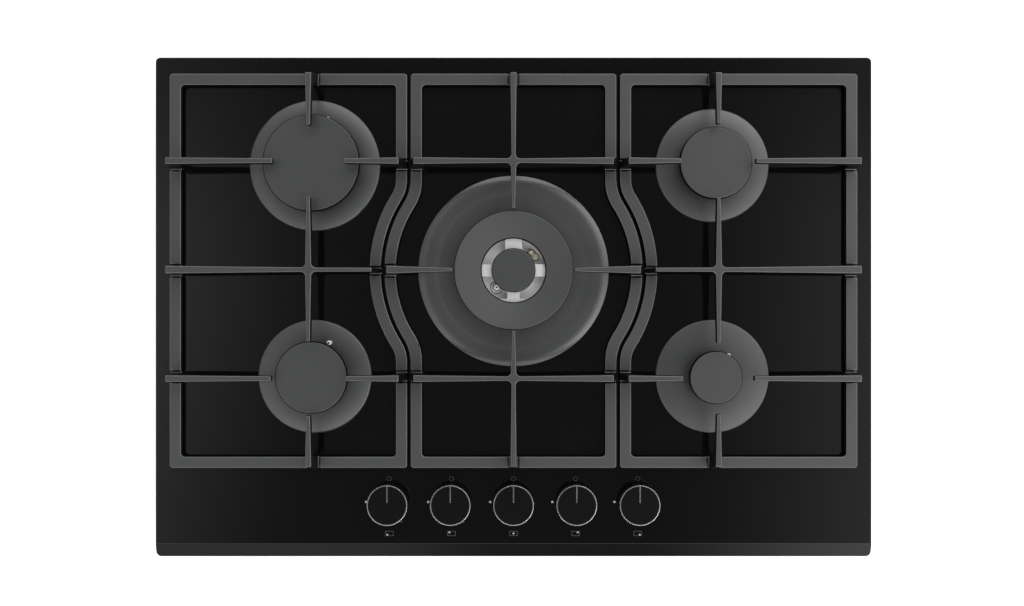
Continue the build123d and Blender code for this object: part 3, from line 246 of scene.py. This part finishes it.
# %% Studio sky: the front wall, the dark horizon and the pale backdrop
FRONT_WALL_MIDDLE = 0.20
FRONT_WALL_LEFT = 0.36
FRONT_WALL_RIGHT = 1.15
front_wall = sum_of(
    sky,
    blend_factor(sky, left, 0.0, 0.13, FRONT_WALL_MIDDLE, FRONT_WALL_MIDDLE + FRONT_WALL_LEFT),
    blend_factor(sky, right, 0.09, 0.32, 0.0, FRONT_WALL_RIGHT),
)
front_low = blend_factor(sky, up, 0.20, 0.50, HORIZON, 1.0)
front_wall = sum_of(sky, front_wall, front_low, "MULTIPLY")
frontness = blend_factor(sky, front, 0.58, 0.74, 0.0, 1.0)
walls = add_node(sky, "ShaderNodeMix", {0: frontness, 2: above, 3: front_wall}, data_type="FLOAT")
strength = walls.outputs[0]
studio_light = add_node(sky, "ShaderNodeBackground", {"Color": (1, 1, 1, 1), "Strength": strength})
pale_backdrop = add_node(sky, "ShaderNodeBackground", {"Color": (0.94, 0.94, 0.94, 1), "Strength": 1.0})
rays = add_node(sky, "ShaderNodeLightPath")
seen_or_light = add_node(
    sky, "ShaderNodeMixShader",
    {0: rays.outputs["Is Camera Ray"], 1: studio_light.outputs[0], 2: pale_backdrop.outputs[0]},
)
add_node(sky, "ShaderNodeOutputWorld", {"Surface": seen_or_light.outputs[0]})
print("sky nodes:", len(sky.nodes))

# %% [markdown]
# ## The floor
#
# The hob was photographed as a cut-out on white. A pale floor under it does the same and still keeps
# a soft shadow. Part of its paleness is a glow that only the camera and mirror-like surfaces see, so
# no extra light reaches the object.

# %% Floor
FLOOR_REACH = 3.0
FLOOR_PAINT = (0.8, 0.8, 0.8, 1)
FLOOR_GLOW = 0.62


def make_floor():
    bm = bmesh.new()
    bmesh.ops.create_grid(bm, x_segments=1, y_segments=1, size=FLOOR_REACH)
    mesh = bpy.data.meshes.new("floor")
    bm.to_mesh(mesh)
    bm.free()
    floor = bpy.data.objects.new("floor", mesh)
    scene.collection.objects.link(floor)
    material = bpy.data.materials.new("pale_floor")
    material.use_nodes = True
    tree = material.node_tree
    tree.nodes.clear()
    paint = add_node(tree, "ShaderNodeBsdfDiffuse", {"Color": FLOOR_PAINT})
    path = add_node(tree, "ShaderNodeLightPath")
    seen = sum_of(tree, path.outputs["Is Camera Ray"], path.outputs["Is Glossy Ray"])
    seen = sum_of(tree, seen, path.outputs["Is Transmission Ray"])
    glow = sum_of(tree, seen, FLOOR_GLOW, "MULTIPLY")
    light = add_node(tree, "ShaderNodeEmission", {"Color": (1, 1, 1, 1), "Strength": glow})
    both = add_node(tree, "ShaderNodeAddShader", {0: paint.outputs[0], 1: light.outputs[0]})
    add_node(tree, "ShaderNodeOutputMaterial", {"Surface": both.outputs[0]})
    mesh.materials.append(material)
    return floor


floor = make_floor()
scene.view_settings.view_transform = "Standard"
print("floor size:", [round(side, 2) for side in floor.dimensions])

# %% [markdown]
# ## Finishes
#
# Every finish on the hob is made the same way: one Principled shader, a fine grain that changes its
# roughness and its surface, and a slow drift that keeps a large face from looking like one flat
# colour. The grain is a noise on Object coordinates, in metres, so that it has the same size on every
# piece. A picture texture could show the same, but noise has no seams and no resolution.

# %% Helper: a finish with grain and drift
DRIFT_FEATURES = 28.0
RELIEF_STRENGTH = 0.6


def make_finish(name, colour, metal=0.0, rough=0.4, rough_spread=0.05, grain=700.0, relief=0.02,
                drift=0.06, gloss=0.5, index=1.5, stretch=(1, 1, 1)):
    """Grain is in features per metre, relief in millimetres, and drift is a share of the colour."""
    material = bpy.data.materials.new(name)
    material.use_nodes = True
    tree = material.node_tree
    shader = tree.nodes["Principled BSDF"]
    place = add_node(tree, "ShaderNodeTexCoord")
    stretched = add_node(tree, "ShaderNodeMapping", {"Vector": place.outputs["Object"], "Scale": stretch})
    fine = add_node(
        tree, "ShaderNodeTexNoise", {"Vector": stretched.outputs["Vector"], "Scale": grain, "Detail": 3.0}
    )
    slow = add_node(
        tree, "ShaderNodeTexNoise",
        {"Vector": place.outputs["Object"], "Scale": DRIFT_FEATURES, "Detail": 2.0},
    )
    dark = tuple(c * (1 - drift) for c in colour) + (1.0,)
    light = tuple(min(1.0, c * (1 + drift)) for c in colour) + (1.0,)
    tint = add_node(
        tree, "ShaderNodeMix", {"Factor": slow.outputs["Fac"], 6: dark, 7: light}, data_type="RGBA",
    )
    roughness = blend_factor(tree, fine.outputs["Fac"], 0.3, 0.7, rough - rough_spread, rough + rough_spread)
    tree.links.new(tint.outputs[2], shader.inputs["Base Color"])
    tree.links.new(roughness, shader.inputs["Roughness"])
    shader.inputs["Metallic"].default_value = metal
    shader.inputs["Specular IOR Level"].default_value = gloss
    shader.inputs["IOR"].default_value = index
    if relief:
        bump = add_node(
            tree, "ShaderNodeBump",
            {"Height": fine.outputs["Fac"], "Distance": relief * MM, "Strength": RELIEF_STRENGTH},
        )
        tree.links.new(bump.outputs["Normal"], shader.inputs["Normal"])
    return material


print("helper: make_finish")

# %% [markdown]
# ### Glass, castings and enamel
#
# The panel is toughened glass, black from a coating underneath, so it is a nearly black surface with
# a sharp reflection. Pan supports, burner caps and burner flanges are enamelled: a dark satin coat
# whose fine texture spreads the light. A casting's rounded edges get a lighter finish, a painted
# highlight, and upright sides get a darker one, painted shade. One could leave that to the light
# alone, but the photograph has more contrast there than plain light gives.

# %% Finishes of the glass and the dark coats
FINISHES = {
    "black_glass": make_finish(
        "polished_black_glass", (0.0022, 0.0022, 0.0022), rough=0.045, rough_spread=0.01,
        grain=60.0, relief=0, drift=0.1),
    "cast_iron": make_finish(
        "enamelled_cast_iron", (0.0165, 0.0195, 0.018), rough=0.42, grain=1100.0, relief=0.035,
        gloss=1.0, index=1.53),
    # Painted highlight: a lighter, glossier copy of the cast iron for rounded edges.
    "cast_iron_painted_highlight": make_finish(
        "painted_highlight_iron_edge", (0.036, 0.040, 0.038), rough=0.40, grain=1100.0, relief=0.02,
        gloss=1.0, index=1.7),
    # Painted shade: a darker, duller copy of the cast iron for upright sides.
    "cast_iron_painted_shade": make_finish(
        "painted_shade_iron_side", (0.007, 0.008, 0.0075), rough=0.55, grain=1100.0, relief=0.035, gloss=0.08),
    "black_enamel": make_finish(
        "satin_enamel", (0.018, 0.021, 0.0195), rough=0.36, grain=1700.0, relief=0.012, drift=0.04,
        gloss=1.0, index=1.56),
    # Painted shade: a darker, duller copy of the enamel for the steep edges and sides of caps.
    "enamel_painted_shade": make_finish(
        "painted_shade_enamel_edge", (0.003, 0.0035, 0.003), rough=0.5, grain=1700.0, relief=0.012, gloss=0.03),
}
print("finishes of the glass and the dark coats:", len(FINISHES))

# %% [markdown]
# ### Crowns, knobs and electrodes
#
# The flame crowns are bare die-cast aluminium, dull, with painted shade on the sides of their slots
# and, in the wok burner, painted light on its floor. Knobs are black plastic with a plated ring. A
# spark plug is glazed ceramic round a steel pin, and the flame probe's tip is a pale copper alloy. In
# the shader one value turns a coat into bare metal. A cast surface that has gone dull lies between the two,
# so the wok burner's crown has a low value of it.

# %% Finishes of the crowns, knobs and electrodes
FINISHES.update({
    "crown_aluminium": make_finish(
        "cast_aluminium", (0.69, 0.68, 0.68), metal=0.25, rough=0.5, grain=1500.0, relief=0.03),
    # Painted light: a nearly white floor that offsets the shade under the wok caps.
    "crown_floor_painted_light": make_finish(
        "painted_light_wok_floor", (0.97, 0.95, 0.96), rough=0.5, grain=1500.0, relief=0.05, drift=0.03),
    # Painted shade: a dark copy of the crown's alloy for its upright faces.
    "crown_shadow": make_finish(
        "painted_shade_crown_side", (0.10, 0.10, 0.10), metal=0.2, rough=0.6, grain=1500.0, relief=0.03),
    "crown_alloy": make_finish(
        "dull_cast_alloy", (0.42, 0.42, 0.42), metal=1.0, rough=0.5, grain=1500.0, relief=0.03),
    "knob_black": make_finish(
        "black_knob_plastic", (0.003, 0.003, 0.003), rough=0.3, grain=2500.0, relief=0.004, gloss=0.15),
    "bright_trim": make_finish(
        "bright_trim", (0.86, 0.86, 0.87), metal=1.0, rough=0.16, rough_spread=0.03, grain=300.0,
        relief=0, drift=0.02),
    # Painted reflection: a dark copy of the bright trim for the slopes of its edges.
    "trim_bevel_painted_reflection": make_finish(
        "trim_bevel_painted_reflection", (0.05, 0.05, 0.05), metal=1.0, rough=0.3, rough_spread=0.03, grain=300.0,
        relief=0, drift=0.02),
    "white_ceramic": make_finish(
        "glazed_ceramic", (0.90, 0.90, 0.89), rough=0.22, grain=900.0, relief=0.01),
    "pin_steel": make_finish(
        "electrode_steel", (0.22, 0.20, 0.19), metal=1.0, rough=0.35, grain=2500.0, relief=0.01),
    "probe_copper": make_finish(
        "probe_copper", (0.86, 0.83, 0.66), metal=0.8, rough=0.30, grain=1800.0, relief=0.01),
})
print("finishes so far:", len(FINISHES))

# %% [markdown]
# ### What is under the glass
#
# Brass injectors, cast valves, drawn tubes, a zinc-plated pipe, galvanised sheet, turned spindles,
# silicone leads, black plastic, rubber and foam. The photograph shows none of them, so each has the
# usual look of its material. The sheet has a coarse grain and a strong drift for its zinc flowers, and
# the spindles' grain is squeezed along their length, which draws the fine rings left by a lathe.

# %% Finishes under the glass
FINISHES.update({
    "brass": make_finish(
        "machined_brass", (0.74, 0.57, 0.28), metal=1.0, rough=0.3, grain=1600.0, relief=0.01),
    "valve_alloy": make_finish(
        "valve_casting", (0.58, 0.58, 0.58), metal=1.0, rough=0.5, grain=1300.0, relief=0.04),
    "tube_alloy": make_finish(
        "drawn_tube", (0.72, 0.72, 0.73), metal=1.0, rough=0.33, grain=900.0, relief=0.01),
    "manifold_steel": make_finish(
        "zinc_plated_pipe", (0.52, 0.52, 0.54), metal=1.0, rough=0.38, grain=700.0, relief=0.015),
    "galvanised_sheet": make_finish(
        "galvanised_sheet", (0.60, 0.61, 0.62), metal=1.0, rough=0.42, rough_spread=0.12,
        grain=140.0, relief=0.01, drift=0.12),
    "zinc_screw": make_finish(
        "zinc_screw", (0.62, 0.61, 0.58), metal=1.0, rough=0.35, grain=2000.0, relief=0.01),
    "spindle_steel": make_finish(
        "turned_steel", (0.58, 0.58, 0.58), metal=1.0, rough=0.3, grain=2500.0, relief=0.01,
        stretch=(1, 1, 6)),
    "lead_silicone": make_finish(
        "silicone_lead", (0.66, 0.63, 0.56), rough=0.55, grain=1200.0, relief=0.02),
    "black_plastic": make_finish(
        "moulded_plastic", (0.02, 0.02, 0.021), rough=0.5, grain=1500.0, relief=0.03),
    "black_rubber": make_finish(
        "black_rubber", (0.015, 0.015, 0.015), rough=0.7, grain=1200.0, relief=0.03),
    "seal_foam": make_finish(
        "foam_seal", (0.03, 0.03, 0.03), rough=0.85, grain=900.0, relief=0.15, drift=0.2),
})
print("finishes:", len(FINISHES))

# %% [markdown]
# ## Helpers for pieces
#
# A finished piece is smooth shaded, with its real corners kept sharp. Weighted normals keep a large
# flat face flat right up to the small rounding beside it, which smooth shading alone would dent.
# Each piece is told which body it rides on, which finish it takes and which CAD solid it stands for.
# Some pieces change their finish with the slope of their surface, and those finishes paint light and
# shade: a painted highlight on rounded edges, painted shade on steep sides. One could paint a mask, but
# the tilt of each face already says where it belongs.

# %% Helper: turn a bmesh into a finished piece
def tilt_of(face):
    """How far a face turns away from straight up, in degrees."""
    return degrees(acos(max(-1.0, min(1.0, face.normal.z))))


def dress_by_tilt(mesh, layers):
    """Each layer is a finish and the tilt from which the faces take it."""
    for finish, _ in layers:
        mesh.materials.append(FINISHES[finish])
    for face in mesh.polygons:
        face.material_index = sum(tilt_of(face) > tilt for _, tilt in layers)


def finish_piece(name, bm, body, slot, replaces=(), sharp_over=38.0, layers=()):
    """Makes the piece and frees the bmesh. Edges that turn by more than sharp_over degrees stay sharp."""
    mesh = bpy.data.meshes.new(name)
    bm.to_mesh(mesh)
    bm.free()
    mesh.shade_smooth()
    mesh.set_sharp_from_angle(angle=radians(sharp_over))
    mesh.materials.append(FINISHES[slot])
    if layers:
        dress_by_tilt(mesh, layers)
    piece = bpy.data.objects.new(name, mesh)
    scene.collection.objects.link(piece)
    weighted = piece.modifiers.new("weighted_normals", "WEIGHTED_NORMAL")
    weighted.keep_sharp = True
    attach(piece, body)
    if replaces:
        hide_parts(*replaces)
    return piece


print("helper: finish_piece")

# %% [markdown]
# Round pieces are drawn as half of their section and spun about their axis, as on a lathe. Each
# corner of the section has its own rounding: a vertex bevel on the line replaces it by an arc. The
# outline is given as radius, height over the glass and rounding, all in millimetres.

# %% Helper: spin a rounded section
def spun(centre, outline, steps=128, closed=True, arc_steps=5):
    """A turned shape with this many steps round its axis, and arc_steps in each rounded corner."""
    bm = bmesh.new()
    corners = [
        bm.verts.new(((centre[0] + r) * MM, centre[1] * MM, (GLASS_TOP + z) * MM)) for r, z, _ in outline
    ]
    for first, second in zip(corners, corners[1:]):
        bm.edges.new((first, second))
    if closed:
        bm.edges.new((corners[-1], corners[0]))
    for corner, (_, _, rounding) in zip(corners, outline):
        if rounding:
            bmesh.ops.bevel(
                bm, geom=[corner], affect="VERTICES", offset=rounding * MM, offset_type="OFFSET",
                segments=arc_steps, profile=0.5, material=-1, clamp_overlap=True,
            )
    bmesh.ops.spin(
        bm, geom=bm.verts[:] + bm.edges[:], cent=(centre[0] * MM, centre[1] * MM, 0), axis=(0, 0, 1),
        dvec=(0, 0, 0), angle=tau, steps=steps, use_merge=True,
    )
    bmesh.ops.remove_doubles(bm, verts=bm.verts[:], dist=1e-6)
    bmesh.ops.recalc_face_normals(bm, faces=bm.faces[:])
    return bm


print("helper: spun")

# %% [markdown]
# Some CAD solids already have the right form and lack only the soft edges of a real casting or
# pressing, and a sharp CAD edge catches no light. For those, a copy of the mesh is merged, its flat
# faces are joined up again, and its edges are bevelled. The copy then stands for the CAD node.
# A large flat face that winds round a whole frame would be filled in wrongly when it is drawn, so
# such a copy is first cut along a grid into faces of a modest size. The cuts are flat and don't show.
# The grid starts off the middle, so that no cut runs along an edge that the casting has there.

# %% Helper: a copy of a CAD node with softened edges
MERGE_WITHIN = 2e-6
FLAT_WITHIN = 0.6
GRID_START = 0.37


def cut_on_grid(bm, step):
    """Cuts all faces by upright planes that stand step millimetres apart, both ways."""
    for axis in (0, 1):
        places = [corner.co[axis] / MM for corner in bm.verts]
        normal = Vector((0, 0, 0))
        normal[axis] = 1.0
        for number in range(int(min(places) / step), int(max(places) / step) + 1):
            bmesh.ops.bisect_plane(
                bm, geom=bm.verts[:] + bm.edges[:] + bm.faces[:], dist=1e-7,
                plane_co=normal * ((number + GRID_START) * step * MM), plane_no=normal,
            )


def softened(node, name, body, slot, width, segments=2, edge_over=32.0, sharp_over=38.0, layers=(), grid=0):
    """Bevels the edges that turn by more than edge_over degrees. Width and grid are in millimetres."""
    bm = bmesh.new()
    bm.from_mesh(frame["nodes"][node].data)
    bmesh.ops.remove_doubles(bm, verts=bm.verts[:], dist=MERGE_WITHIN)
    bmesh.ops.dissolve_limit(
        bm, angle_limit=radians(FLAT_WITHIN), use_dissolve_boundaries=False, verts=bm.verts[:],
        edges=bm.edges[:], delimit=set(),
    )
    if grid:
        cut_on_grid(bm, grid)
    corners = [e for e in bm.edges if e.is_manifold and e.calc_face_angle() > radians(edge_over)]
    bmesh.ops.bevel(
        bm, geom=corners, affect="EDGES", offset=width * MM, offset_type="OFFSET", segments=segments,
        profile=0.5, material=-1, clamp_overlap=False, miter_outer="ARC",
    )
    return finish_piece(name, bm, body, slot, replaces=(node,), sharp_over=sharp_over, layers=layers)


print("helper: softened")

# %% [markdown]
# ## The glass panel
#
# One sheet of 8 mm glass, ground to a long slope along its front edge and lightly rounded elsewhere.
# The CAD solid has this form, so a softened copy is enough; what matters is a crisp, thin highlight
# along the edges.

# %% Glass panel
GLASS_ROUNDING = 0.25
panel = softened("glass_panel", "glass_top", "hob", "black_glass", GLASS_ROUNDING, edge_over=12.0)
print("glass panel polygons:", len(panel.data.polygons))

# %% [markdown]
# ## Printed marks
#
# Round each knob there is a small ring behind it for off, a dot on its left for the full flame and a
# tiny ring at the front right for the low flame. In front of it a little frame shows the hob, with a
# dot at the burner that the knob serves. On the real panel they are printed, so each is a sheet of
# ink 0.05 mm thick on the glass. They could be drawn in the glass's shader, but small sheets keep
# their sharp edges in any viewer.

# %% The ink, and a dot
FINISHES["printed_ink"] = make_finish(
    "printed_ink", (0.55, 0.55, 0.55), rough=0.5, grain=2500.0, relief=0)
FINISHES["faint_ink"] = make_finish(
    "faint_ink", (0.075, 0.075, 0.075), rough=0.5, grain=2500.0, relief=0)
INK = 0.05
INK_SUNK = 0.01


def on_glass(x, y):
    """The place of a mark, a hair below the top of the glass."""
    return Matrix.Translation((x * MM, y * MM, (GLASS_TOP - INK_SUNK) * MM))


def raise_ink(bm, faces):
    """Gives new flat faces the thickness of ink."""
    grown = bmesh.ops.extrude_face_region(bm, geom=faces)
    top = [item for item in grown["geom"] if isinstance(item, bmesh.types.BMVert)]
    bmesh.ops.translate(bm, verts=top, vec=(0, 0, INK * MM))


def ink_dot(bm, x, y, radius):
    made = bmesh.ops.create_circle(
        bm, cap_ends=True, segments=24, radius=radius * MM, matrix=on_glass(x, y),
    )
    raise_ink(bm, [made["verts"][0].link_faces[0]])


print("ink thickness:", INK, "mm")

# %% [markdown]
# A ring and a frame are a filled shape each, which is inset by the width of its line. The middle is
# then taken out, and the border is raised. One could bend a thin line to the shape, but an inset keeps
# the corners of the frame square.

# %% Rings and frames
def raise_border(bm, face, line):
    """Leaves only a border of a flat face, as wide as the line, and raises it."""
    border = bmesh.ops.inset_individual(bm, faces=[face], thickness=line * MM, use_even_offset=True)
    bmesh.ops.delete(bm, geom=[face], context="FACES_ONLY")
    raise_ink(bm, border["faces"])


def ink_ring(bm, x, y, radius, line):
    made = bmesh.ops.create_circle(
        bm, cap_ends=True, segments=32, radius=radius * MM, matrix=on_glass(x, y),
    )
    raise_border(bm, made["verts"][0].link_faces[0], line)


def ink_frame(bm, x, y, width, depth, line):
    place = on_glass(x, y) @ Matrix.Diagonal((width / 2, depth / 2, 1, 1))
    made = bmesh.ops.create_grid(bm, x_segments=1, y_segments=1, size=MM, matrix=place)
    raise_border(bm, made["verts"][0].link_faces[0], line)


print("helpers: ink_dot, ink_ring, ink_frame")

# %% [markdown]
# The dots are the bright marks and the rings and frames the faint ones, so they are two pieces. The
# CAD record names no ink, so each piece gives white ceramic as its slot and wears its own ink.

# %% Print the marks
MARK_RADIUS = 24.2
FULL_FLAME_DOT = 1.2
OFF_RING = {"radius": 2.4, "line": 0.35}
LOW_FLAME_RING = {"radius": 0.9, "line": 0.4}
LOW_FLAME_ANGLE = radians(301)
ICON_Y = KNOB_Y - 32.8
ICON_FRAME = {"width": 8.6, "depth": 5.0, "line": 0.45}
ICON_DOT_RADIUS = 0.95
ICON_DOT = {
    "left_front": (-2.1, -1.4),
    "left_rear": (-2.1, 1.2),
    "wok": (0.0, 0.0),
    "right_rear": (2.1, 1.2),
    "right_front": (2.1, -1.4),
}


def print_marks():
    bright = bmesh.new()
    faint = bmesh.new()
    for name, (x, y) in KNOB_AT.items():
        ink_dot(bright, x - MARK_RADIUS, y, FULL_FLAME_DOT)
        dot_x, dot_y = ICON_DOT[name]
        ink_dot(bright, x + dot_x, ICON_Y + dot_y, ICON_DOT_RADIUS)
        ink_ring(faint, x, y + MARK_RADIUS, **OFF_RING)
        low_x = x + MARK_RADIUS * cos(LOW_FLAME_ANGLE)
        low_y = y + MARK_RADIUS * sin(LOW_FLAME_ANGLE)
        ink_ring(faint, low_x, low_y, **LOW_FLAME_RING)
        ink_frame(faint, x, ICON_Y, **ICON_FRAME)
    for bm in (bright, faint):
        bmesh.ops.recalc_face_normals(bm, faces=bm.faces[:])
    dots = finish_piece("bright_marks", bright, "hob", "printed_ink")
    lines = finish_piece("faint_marks", faint, "hob", "faint_ink")
    return dots, lines


marks = print_marks()
print("marks:", [piece.name for piece in marks])

# %% [markdown]
# ## Flame crowns
#
# The crown spreads the gas to many small flames through slots in its wall. It is die-cast, so its
# slots and rims have small radii. Its upright faces take painted shade, a darker finish than its
# tops. The wok burner's crown shows between the two caps: bright bridges, and lower between them a
# floor that lies in their shade. The floor is painted lighter, a painted light, because there the
# photograph is lighter than shade alone would leave it. The other crowns lie under their caps.

# %% Flame crowns
CROWN_ROUNDING = 0.25
# Crown faces tilted over 60 degrees take painted shade.
CROWN_LAYERS = [("crown_shadow", 60.0)]
WOK_FLOOR_UNDER = 14.0


def lighten_floor(crown, height):
    """Gives the tops that lie lower than this height over the glass the painted light of the floor."""
    crown.data.materials.append(FINISHES["crown_floor_painted_light"])
    painted_light_index = len(crown.data.materials) - 1
    for face in crown.data.polygons:
        if face.material_index == 0 and face.center.z < (GLASS_TOP + height) * MM:
            face.material_index = painted_light_index


for name in BURNER_AT:
    alloy = "crown_aluminium" if name == "wok" else "crown_alloy"
    crown = softened(
        f"burner_crown_{name}", f"flame_crown_{name}", f"crown_{name}", alloy, CROWN_ROUNDING,
        layers=CROWN_LAYERS,
    )
    if name == "wok":
        lighten_floor(crown, WOK_FLOOR_UNDER)
    print(crown.name, len(crown.data.polygons))

# %% [markdown]
# ## Burner caps
#
# A cap is a thick enamelled steel disc with a soft edge all round. Spun from its half section, the
# corner burners' caps differ only in radius. A spigot underneath keeps the cap centred on its crown.
# The steep part of the edge and the sides take painted shade, a darker finish, which draws a dark outline
# round each cap.

# %% Caps of the corner burners
CAP_LOW = 21.3
CAP_TOP = 28.6
CAP_EDGE = 1.5
CAP_LOW_EDGE = 0.5
# Cap faces tilted over 24 degrees take painted shade, the dark outline.
CAP_LAYERS = [("enamel_painted_shade", 24.0)]
SPIGOT_INSIDE_CROWN = 6.4
SPIGOT_DEPTH = 3
CAP_RADIUS = {"left_rear": 49.4, "left_front": 36.9, "right_rear": 36.9, "right_front": 27.0}
CROWN_RADIUS = {"left_rear": 46.0, "left_front": 33.8, "right_rear": 33.8, "right_front": 24.0}
for name, radius in CAP_RADIUS.items():
    spigot = CROWN_RADIUS[name] - SPIGOT_INSIDE_CROWN
    section = [
        (0, CAP_TOP, 0), (radius, CAP_TOP, CAP_EDGE), (radius, CAP_LOW, CAP_LOW_EDGE),
        (spigot, CAP_LOW, 0), (spigot, CAP_LOW - SPIGOT_DEPTH, 0.4), (0, CAP_LOW - SPIGOT_DEPTH, 0),
    ]
    cap = finish_piece(
        f"cap_disc_{name}", spun(BURNER_AT[name], section, steps=160, closed=False, arc_steps=8),
        f"cap_{name}", "black_enamel", replaces=(f"burner_cap_{name}",), layers=CAP_LAYERS,
    )
    print(cap.name, "radius", radius, "mm")

# %% [markdown]
# The wok burner has two caps: a wide ring and a small disc inside it. The ring's top isn't flat. It
# falls a little towards its hole, which is why, in the photograph, its left side is lighter than its
# right: each side leans towards the opposite wall of the studio.

# %% Caps of the wok burner
DISH = 4.2
RING_HOLE = 32.5
RING_RADIUS = 60.8
RIB_INNER = 37.0
RIB_OUTER = 51.0
RIB_LOW = CAP_LOW - 2.5
INNER_RADIUS = 22.5
INNER_SPIGOT = 14.1
ring_section = [
    (RING_HOLE, CAP_TOP - DISH, CAP_EDGE), (RING_RADIUS, CAP_TOP, CAP_EDGE),
    (RING_RADIUS, CAP_LOW, CAP_LOW_EDGE), (RIB_OUTER, CAP_LOW, 0), (RIB_OUTER, RIB_LOW, 0.3),
    (RIB_INNER, RIB_LOW, 0.3), (RIB_INNER, CAP_LOW, 0), (RING_HOLE, CAP_LOW, CAP_LOW_EDGE),
]
ring_cap = finish_piece(
    "cap_ring_wok", spun(BURNER_AT["wok"], ring_section, steps=192, arc_steps=8), "cap_wok",
    "black_enamel", replaces=("burner_cap_wok",), layers=CAP_LAYERS,
)
disc_section = [
    (0, CAP_TOP, 0), (INNER_RADIUS, CAP_TOP, CAP_EDGE), (INNER_RADIUS, CAP_LOW, CAP_LOW_EDGE),
    (INNER_SPIGOT, CAP_LOW, 0), (INNER_SPIGOT, CAP_LOW - SPIGOT_DEPTH, 0.3),
    (0, CAP_LOW - SPIGOT_DEPTH, 0),
]
inner_cap = finish_piece(
    "cap_disc_wok_inner", spun(BURNER_AT["wok"], disc_section, closed=False, arc_steps=8),
    "cap_wok_inner", "black_enamel", replaces=("burner_cap_wok_inner",), layers=CAP_LAYERS,
)
print("wok caps:", ring_cap.name, inner_cap.name)

# %% [markdown]
# ## Pan supports
#
# Each support is one casting: a flat frame, legs that stand in notches of the frame, and fingers that
# narrow towards their tips. Castings never have knife edges, and here the rounded edges draw the thin
# light lines along every bar. The bevel is worked on a merged copy of each solid. Its tops are
# enamelled, its rounded edges carry a painted highlight, and its sides carry painted shade.

# %% Pan supports
CASTING_ROUNDING = 1.0
# Faces tilted over 6 degrees take a painted highlight, those over 42 degrees painted shade.
CASTING_LAYERS = [("cast_iron_painted_highlight", 6.0), ("cast_iron_painted_shade", 42.0)]
CASTING_GRID = 60
for side in ("left", "centre", "right"):
    casting = softened(
        f"pan_support_{side}", f"casting_{side}", f"support_{side}", "cast_iron", CASTING_ROUNDING,
        segments=4, layers=CASTING_LAYERS, grid=CASTING_GRID,
    )
    print(casting.name, len(casting.data.polygons))

# %% [markdown]
# ## Knobs
#
# A knob is a black cap with a bright ring round its face and a bright line that points to the mark.
# The ring and its pointer are one plated part, pressed into the knob. Their edges are softened by a
# fifth of a millimetre, and those small slopes take a darker finish, a painted reflection of the dark around
# them.

# %% Knobs and their rings
KNOB_ROUNDING = 0.2
TRIM_ROUNDING = 0.22
# Slopes over 20 degrees take a painted dark reflection, and faces over 80 degrees the bright trim.
TRIM_LAYERS = [("trim_bevel_painted_reflection", 20.0), ("bright_trim", 80.0)]
for name in KNOB_AT:
    body = f"control_{name}"
    knob = softened(f"knob_{name}", f"knob_cap_{name}", body, "knob_black", KNOB_ROUNDING)
    ring = softened(
        f"knob_ring_{name}", f"knob_trim_{name}", body, "bright_trim", TRIM_ROUNDING, layers=TRIM_LAYERS,
    )
    print(knob.name, len(knob.data.polygons), ring.name, len(ring.data.polygons))

# %% [markdown]
# ## What keeps its CAD form
#
# Under each burner a cup hangs in the glass. Its flange lies on the glass as a dark satin ring that
# falls in one soft curve to a rounded rim, and the wok burner's is a shallow dish with a raised
# border. They could be spun again here, but the curves of the CAD solids are fine enough, so they only
# get their enamel. The spark plugs, tubes, screws, brackets, valves and the tray are right as they are
# too. Each takes the finish that the record names for it. Assigning a material to the object's slots
# changes only how it looks, and leaves the solid as it was.

# %% Finishes of the CAD nodes
slot_of = {part["node"]: part["material_slot"] for part in frame["record"]["subparts"]}
for node_name, node in frame["nodes"].items():
    for index in range(len(node.material_slots)):
        node.material_slots[index].material = FINISHES[slot_of[node_name]]
print("CAD nodes dressed:", len(slot_of))
